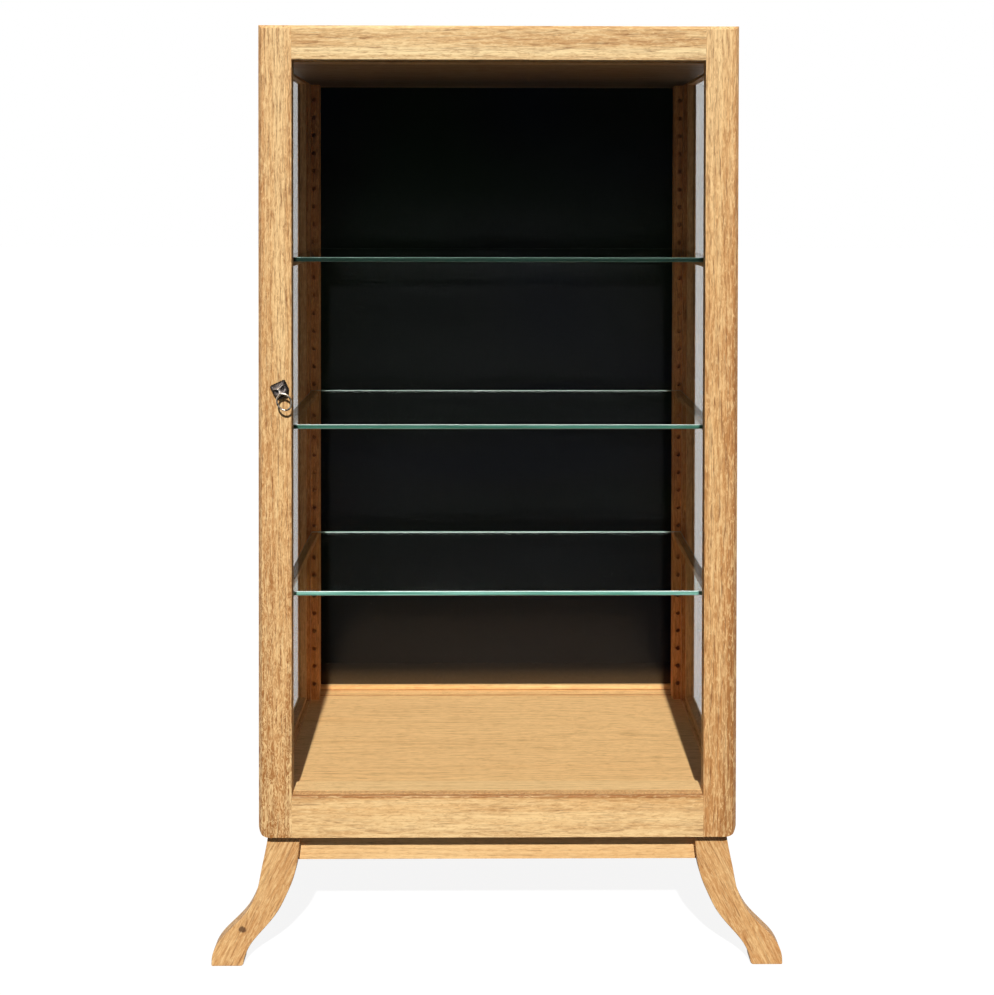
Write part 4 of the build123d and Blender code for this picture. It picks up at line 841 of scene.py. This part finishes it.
def shelf_glass(name, edge_dark, edge_light, arris):
    """Thick glass: clear through its faces, green along its edges and pale on its ground arrises, with
    painted light on its rear edges.
    """
    material, tree, shader = new_material(name)
    make_clear(tree, shader, SHELF_TINT, SHELF_IOR, SHELF_SMEAR)
    place = object_coordinates(tree)
    normal = add(tree, "ShaderNodeTexCoord").outputs["Normal"]
    upright = calc(tree, "ABSOLUTE", split(tree, normal)[Z])
    streaks = noise(tree, stretched(tree, place, *EDGE_STREAKS), detail=3.0, roughness=0.6)
    green = ramp(tree, streaks, (EDGE_DARK_AT, srgb(*edge_dark)), (EDGE_LIGHT_AT, srgb(*edge_light)))
    colour = mix(tree, calc(tree, "GREATER_THAN", upright, ARRIS_UPRIGHT), green, srgb(*arris))
    rear = calc(tree, "GREATER_THAN", split(tree, place)[Y], REAR_EDGE_Y)
    colour = mix(tree, times(tree, rear, REAR_EDGE_LIGHT_STRENGTH), colour, srgb(*REAR_EDGE_PAINTED_LIGHT))
    edge_look = {"Base Color": colour, "Roughness": EDGE_ROUGHNESS}
    ground = add(tree, "ShaderNodeBsdfPrincipled", edge_look).outputs[0]
    is_edge = calc(tree, "LESS_THAN", upright, FACE_UPRIGHT)
    let_light_through(tree, mix_shaders(tree, is_edge, shader.outputs[0], ground))
    return material


dress("door_glass", pane_glass("door_pane"))
side_pane = pane_glass("side_pane")
for side in ("left", "right"):
    dress(f"side_glass_{side}", side_pane)
# Each level's edge greens and arris hold the light on that shelf: lighter on the lower shelf as painted
# light, darker on the upper shelf as painted shade
for level, edge_dark, edge_light, arris in (
    ("lower", (84, 150, 130), (150, 205, 190), (236, 252, 246)),
    ("middle", (46, 96, 78), (82, 136, 118), (224, 240, 231)),
    ("upper", (5, 28, 20), (18, 46, 37), (112, 140, 128)),
):
    dress(f"glass_shelf_{level}", shelf_glass(f"shelf_{level}", edge_dark, edge_light, arris))


# Floor, sky, lamp and camera

def stage_plane(name, size, material):
    """A flat sheet that isn't part of the cabinet."""
    mesh = bpy.data.meshes.new(name)
    right, up = (side / 2 for side in size)
    mesh.from_pydata([(-right, -up, 0), (right, -up, 0), (right, up, 0), (-right, up, 0)], [], [(0, 1, 2, 3)])
    mesh.materials.append(material)
    sheet = bpy.data.objects.new(name, mesh)
    bpy.context.scene.collection.objects.link(sheet)
    return sheet


def seen(tree):
    """One for rays from the camera, and for those that glass and metal send on."""
    path = add(tree, "ShaderNodeLightPath")
    sent_on = calc(tree, "MAXIMUM", path.outputs["Is Glossy Ray"], path.outputs["Is Transmission Ray"])
    return calc(tree, "MAXIMUM", path.outputs["Is Camera Ray"], sent_on)


def floor_material():
    """A pale studio floor that keeps a light shadow and sends little light up."""
    material, tree, shader = new_material("studio_floor")
    tree.nodes.remove(shader)
    pale = add(tree, "ShaderNodeBsdfDiffuse", {"Color": grey(FLOOR_GREY)}).outputs[0]
    glow = add(tree, "ShaderNodeEmission", {"Strength": FLOOR_GLOW}).outputs[0]
    shown = add(tree, "ShaderNodeAddShader", {0: pale, 1: glow}).outputs[0]
    bounce = add(tree, "ShaderNodeBsdfDiffuse", {"Color": grey(FLOOR_BOUNCE)}).outputs[0]
    show(tree, mix_shaders(tree, seen(tree), bounce, shown))
    return material


def card_material():
    """A dark card with dim patches, seen only as a reflection in glass, paint and metal."""
    material, tree, shader = new_material("dark_card")
    tree.nodes.remove(shader)
    place = object_coordinates(tree)
    in_patches = mapped(tree, place, Scale=CARD_PATCH_SCALE)
    patches = noise(tree, in_patches, detail=3.0, roughness=0.6, distortion=0.4)
    fall = times(tree, split(tree, place)[Y], CARD_FALL_PER_METRE)
    level = plus(tree, fall, times(tree, patches, CARD_PATCH_REACH))
    colour = ramp(tree, level, *((stop, srgb(*shade)) for stop, shade in CARD_SHADES))
    hue = noise(tree, mapped(tree, place, Scale=CARD_HUE_SCALE), detail=1.0)
    colour = mix(tree, ramp(tree, hue, *CARD_GREEN_STOPS), colour, srgb(*CARD_GREEN))
    colour = mix(tree, ramp(tree, hue, *CARD_BLUE_STOPS), colour, srgb(*CARD_BLUE))
    glow = add(tree, "ShaderNodeEmission", {"Color": colour}).outputs[0]
    clear = add(tree, "ShaderNodeBsdfTransparent").outputs[0]
    mirrored = calc(tree, "GREATER_THAN", add(tree, "ShaderNodeLightPath").outputs["Glossy Depth"], 0.5)
    show(tree, mix_shaders(tree, mirrored, clear, glow))
    return material


def dark_cards():
    """The two cards, which throw no shadow."""
    dark = card_material()
    for name, size, place, lean in (
        ("dark_card", CARD_SIZE, CARD_PLACE, math.pi / 2),
        ("ground_card", GROUND_CARD_SIZE, GROUND_CARD_PLACE, 0.0),
    ):
        card = stage_plane(name, size, dark)
        card.location = place
        card.rotation_euler = (lean, 0.0, 0.0)
        card.visible_shadow = False


def studio_sky():
    """A sky that is white to look at, and lights the scene only weakly."""
    world = bpy.data.worlds.new("studio")
    bpy.context.scene.world = world
    world.use_nodes = True
    tree = world.node_tree
    sky = tree.nodes["Background"]
    sky.inputs["Color"].default_value = grey(1.0)
    level = plus(tree, SKY_LIGHT, times(tree, seen(tree), 1.0 - SKY_LIGHT))
    tree.links.new(level, sky.inputs["Strength"])


def key_lamp():
    """The lamp in front of the cabinet and above it."""
    lamp = bpy.data.lights.new("key", "SUN")
    lamp.energy = KEY_STRENGTH
    lamp.angle = KEY_SPREAD
    key = bpy.data.objects.new("key", lamp)
    key.rotation_euler = (math.pi / 2 - KEY_ELEVATION, 0.0, 0.0)
    bpy.context.scene.collection.objects.link(key)


def photo_camera():
    """The photograph's camera. Its shift keeps the uprights parallel, as they are in the picture."""
    lens = bpy.data.cameras.new("photo_camera")
    lens.sensor_width = SENSOR_MM
    lens.lens = FOCAL_PIXELS * SENSOR_MM / PICTURE_HEIGHT
    lens.shift_y = (PRINCIPAL_ROW - PICTURE_HEIGHT / 2) / PICTURE_HEIGHT
    camera = bpy.data.objects.new("photo_camera", lens)
    camera.matrix_world = (
        Matrix.Translation(CAMERA_PLACE)
        @ Matrix.Rotation(CAMERA_YAW, 4, "Z")
        @ Matrix.Rotation(CAMERA_PITCH, 4, "X")
        @ Matrix.Rotation(CAMERA_ROLL, 4, "Y")
        @ Matrix.Rotation(math.pi / 2, 4, "X")
    )
    bpy.context.scene.collection.objects.link(camera)
    bpy.context.scene.camera = camera
    bpy.context.scene.view_settings.view_transform = "Standard"


stage_plane("studio_floor", FLOOR_SIZE, floor_material())
dark_cards()
studio_sky()
key_lamp()
photo_camera()
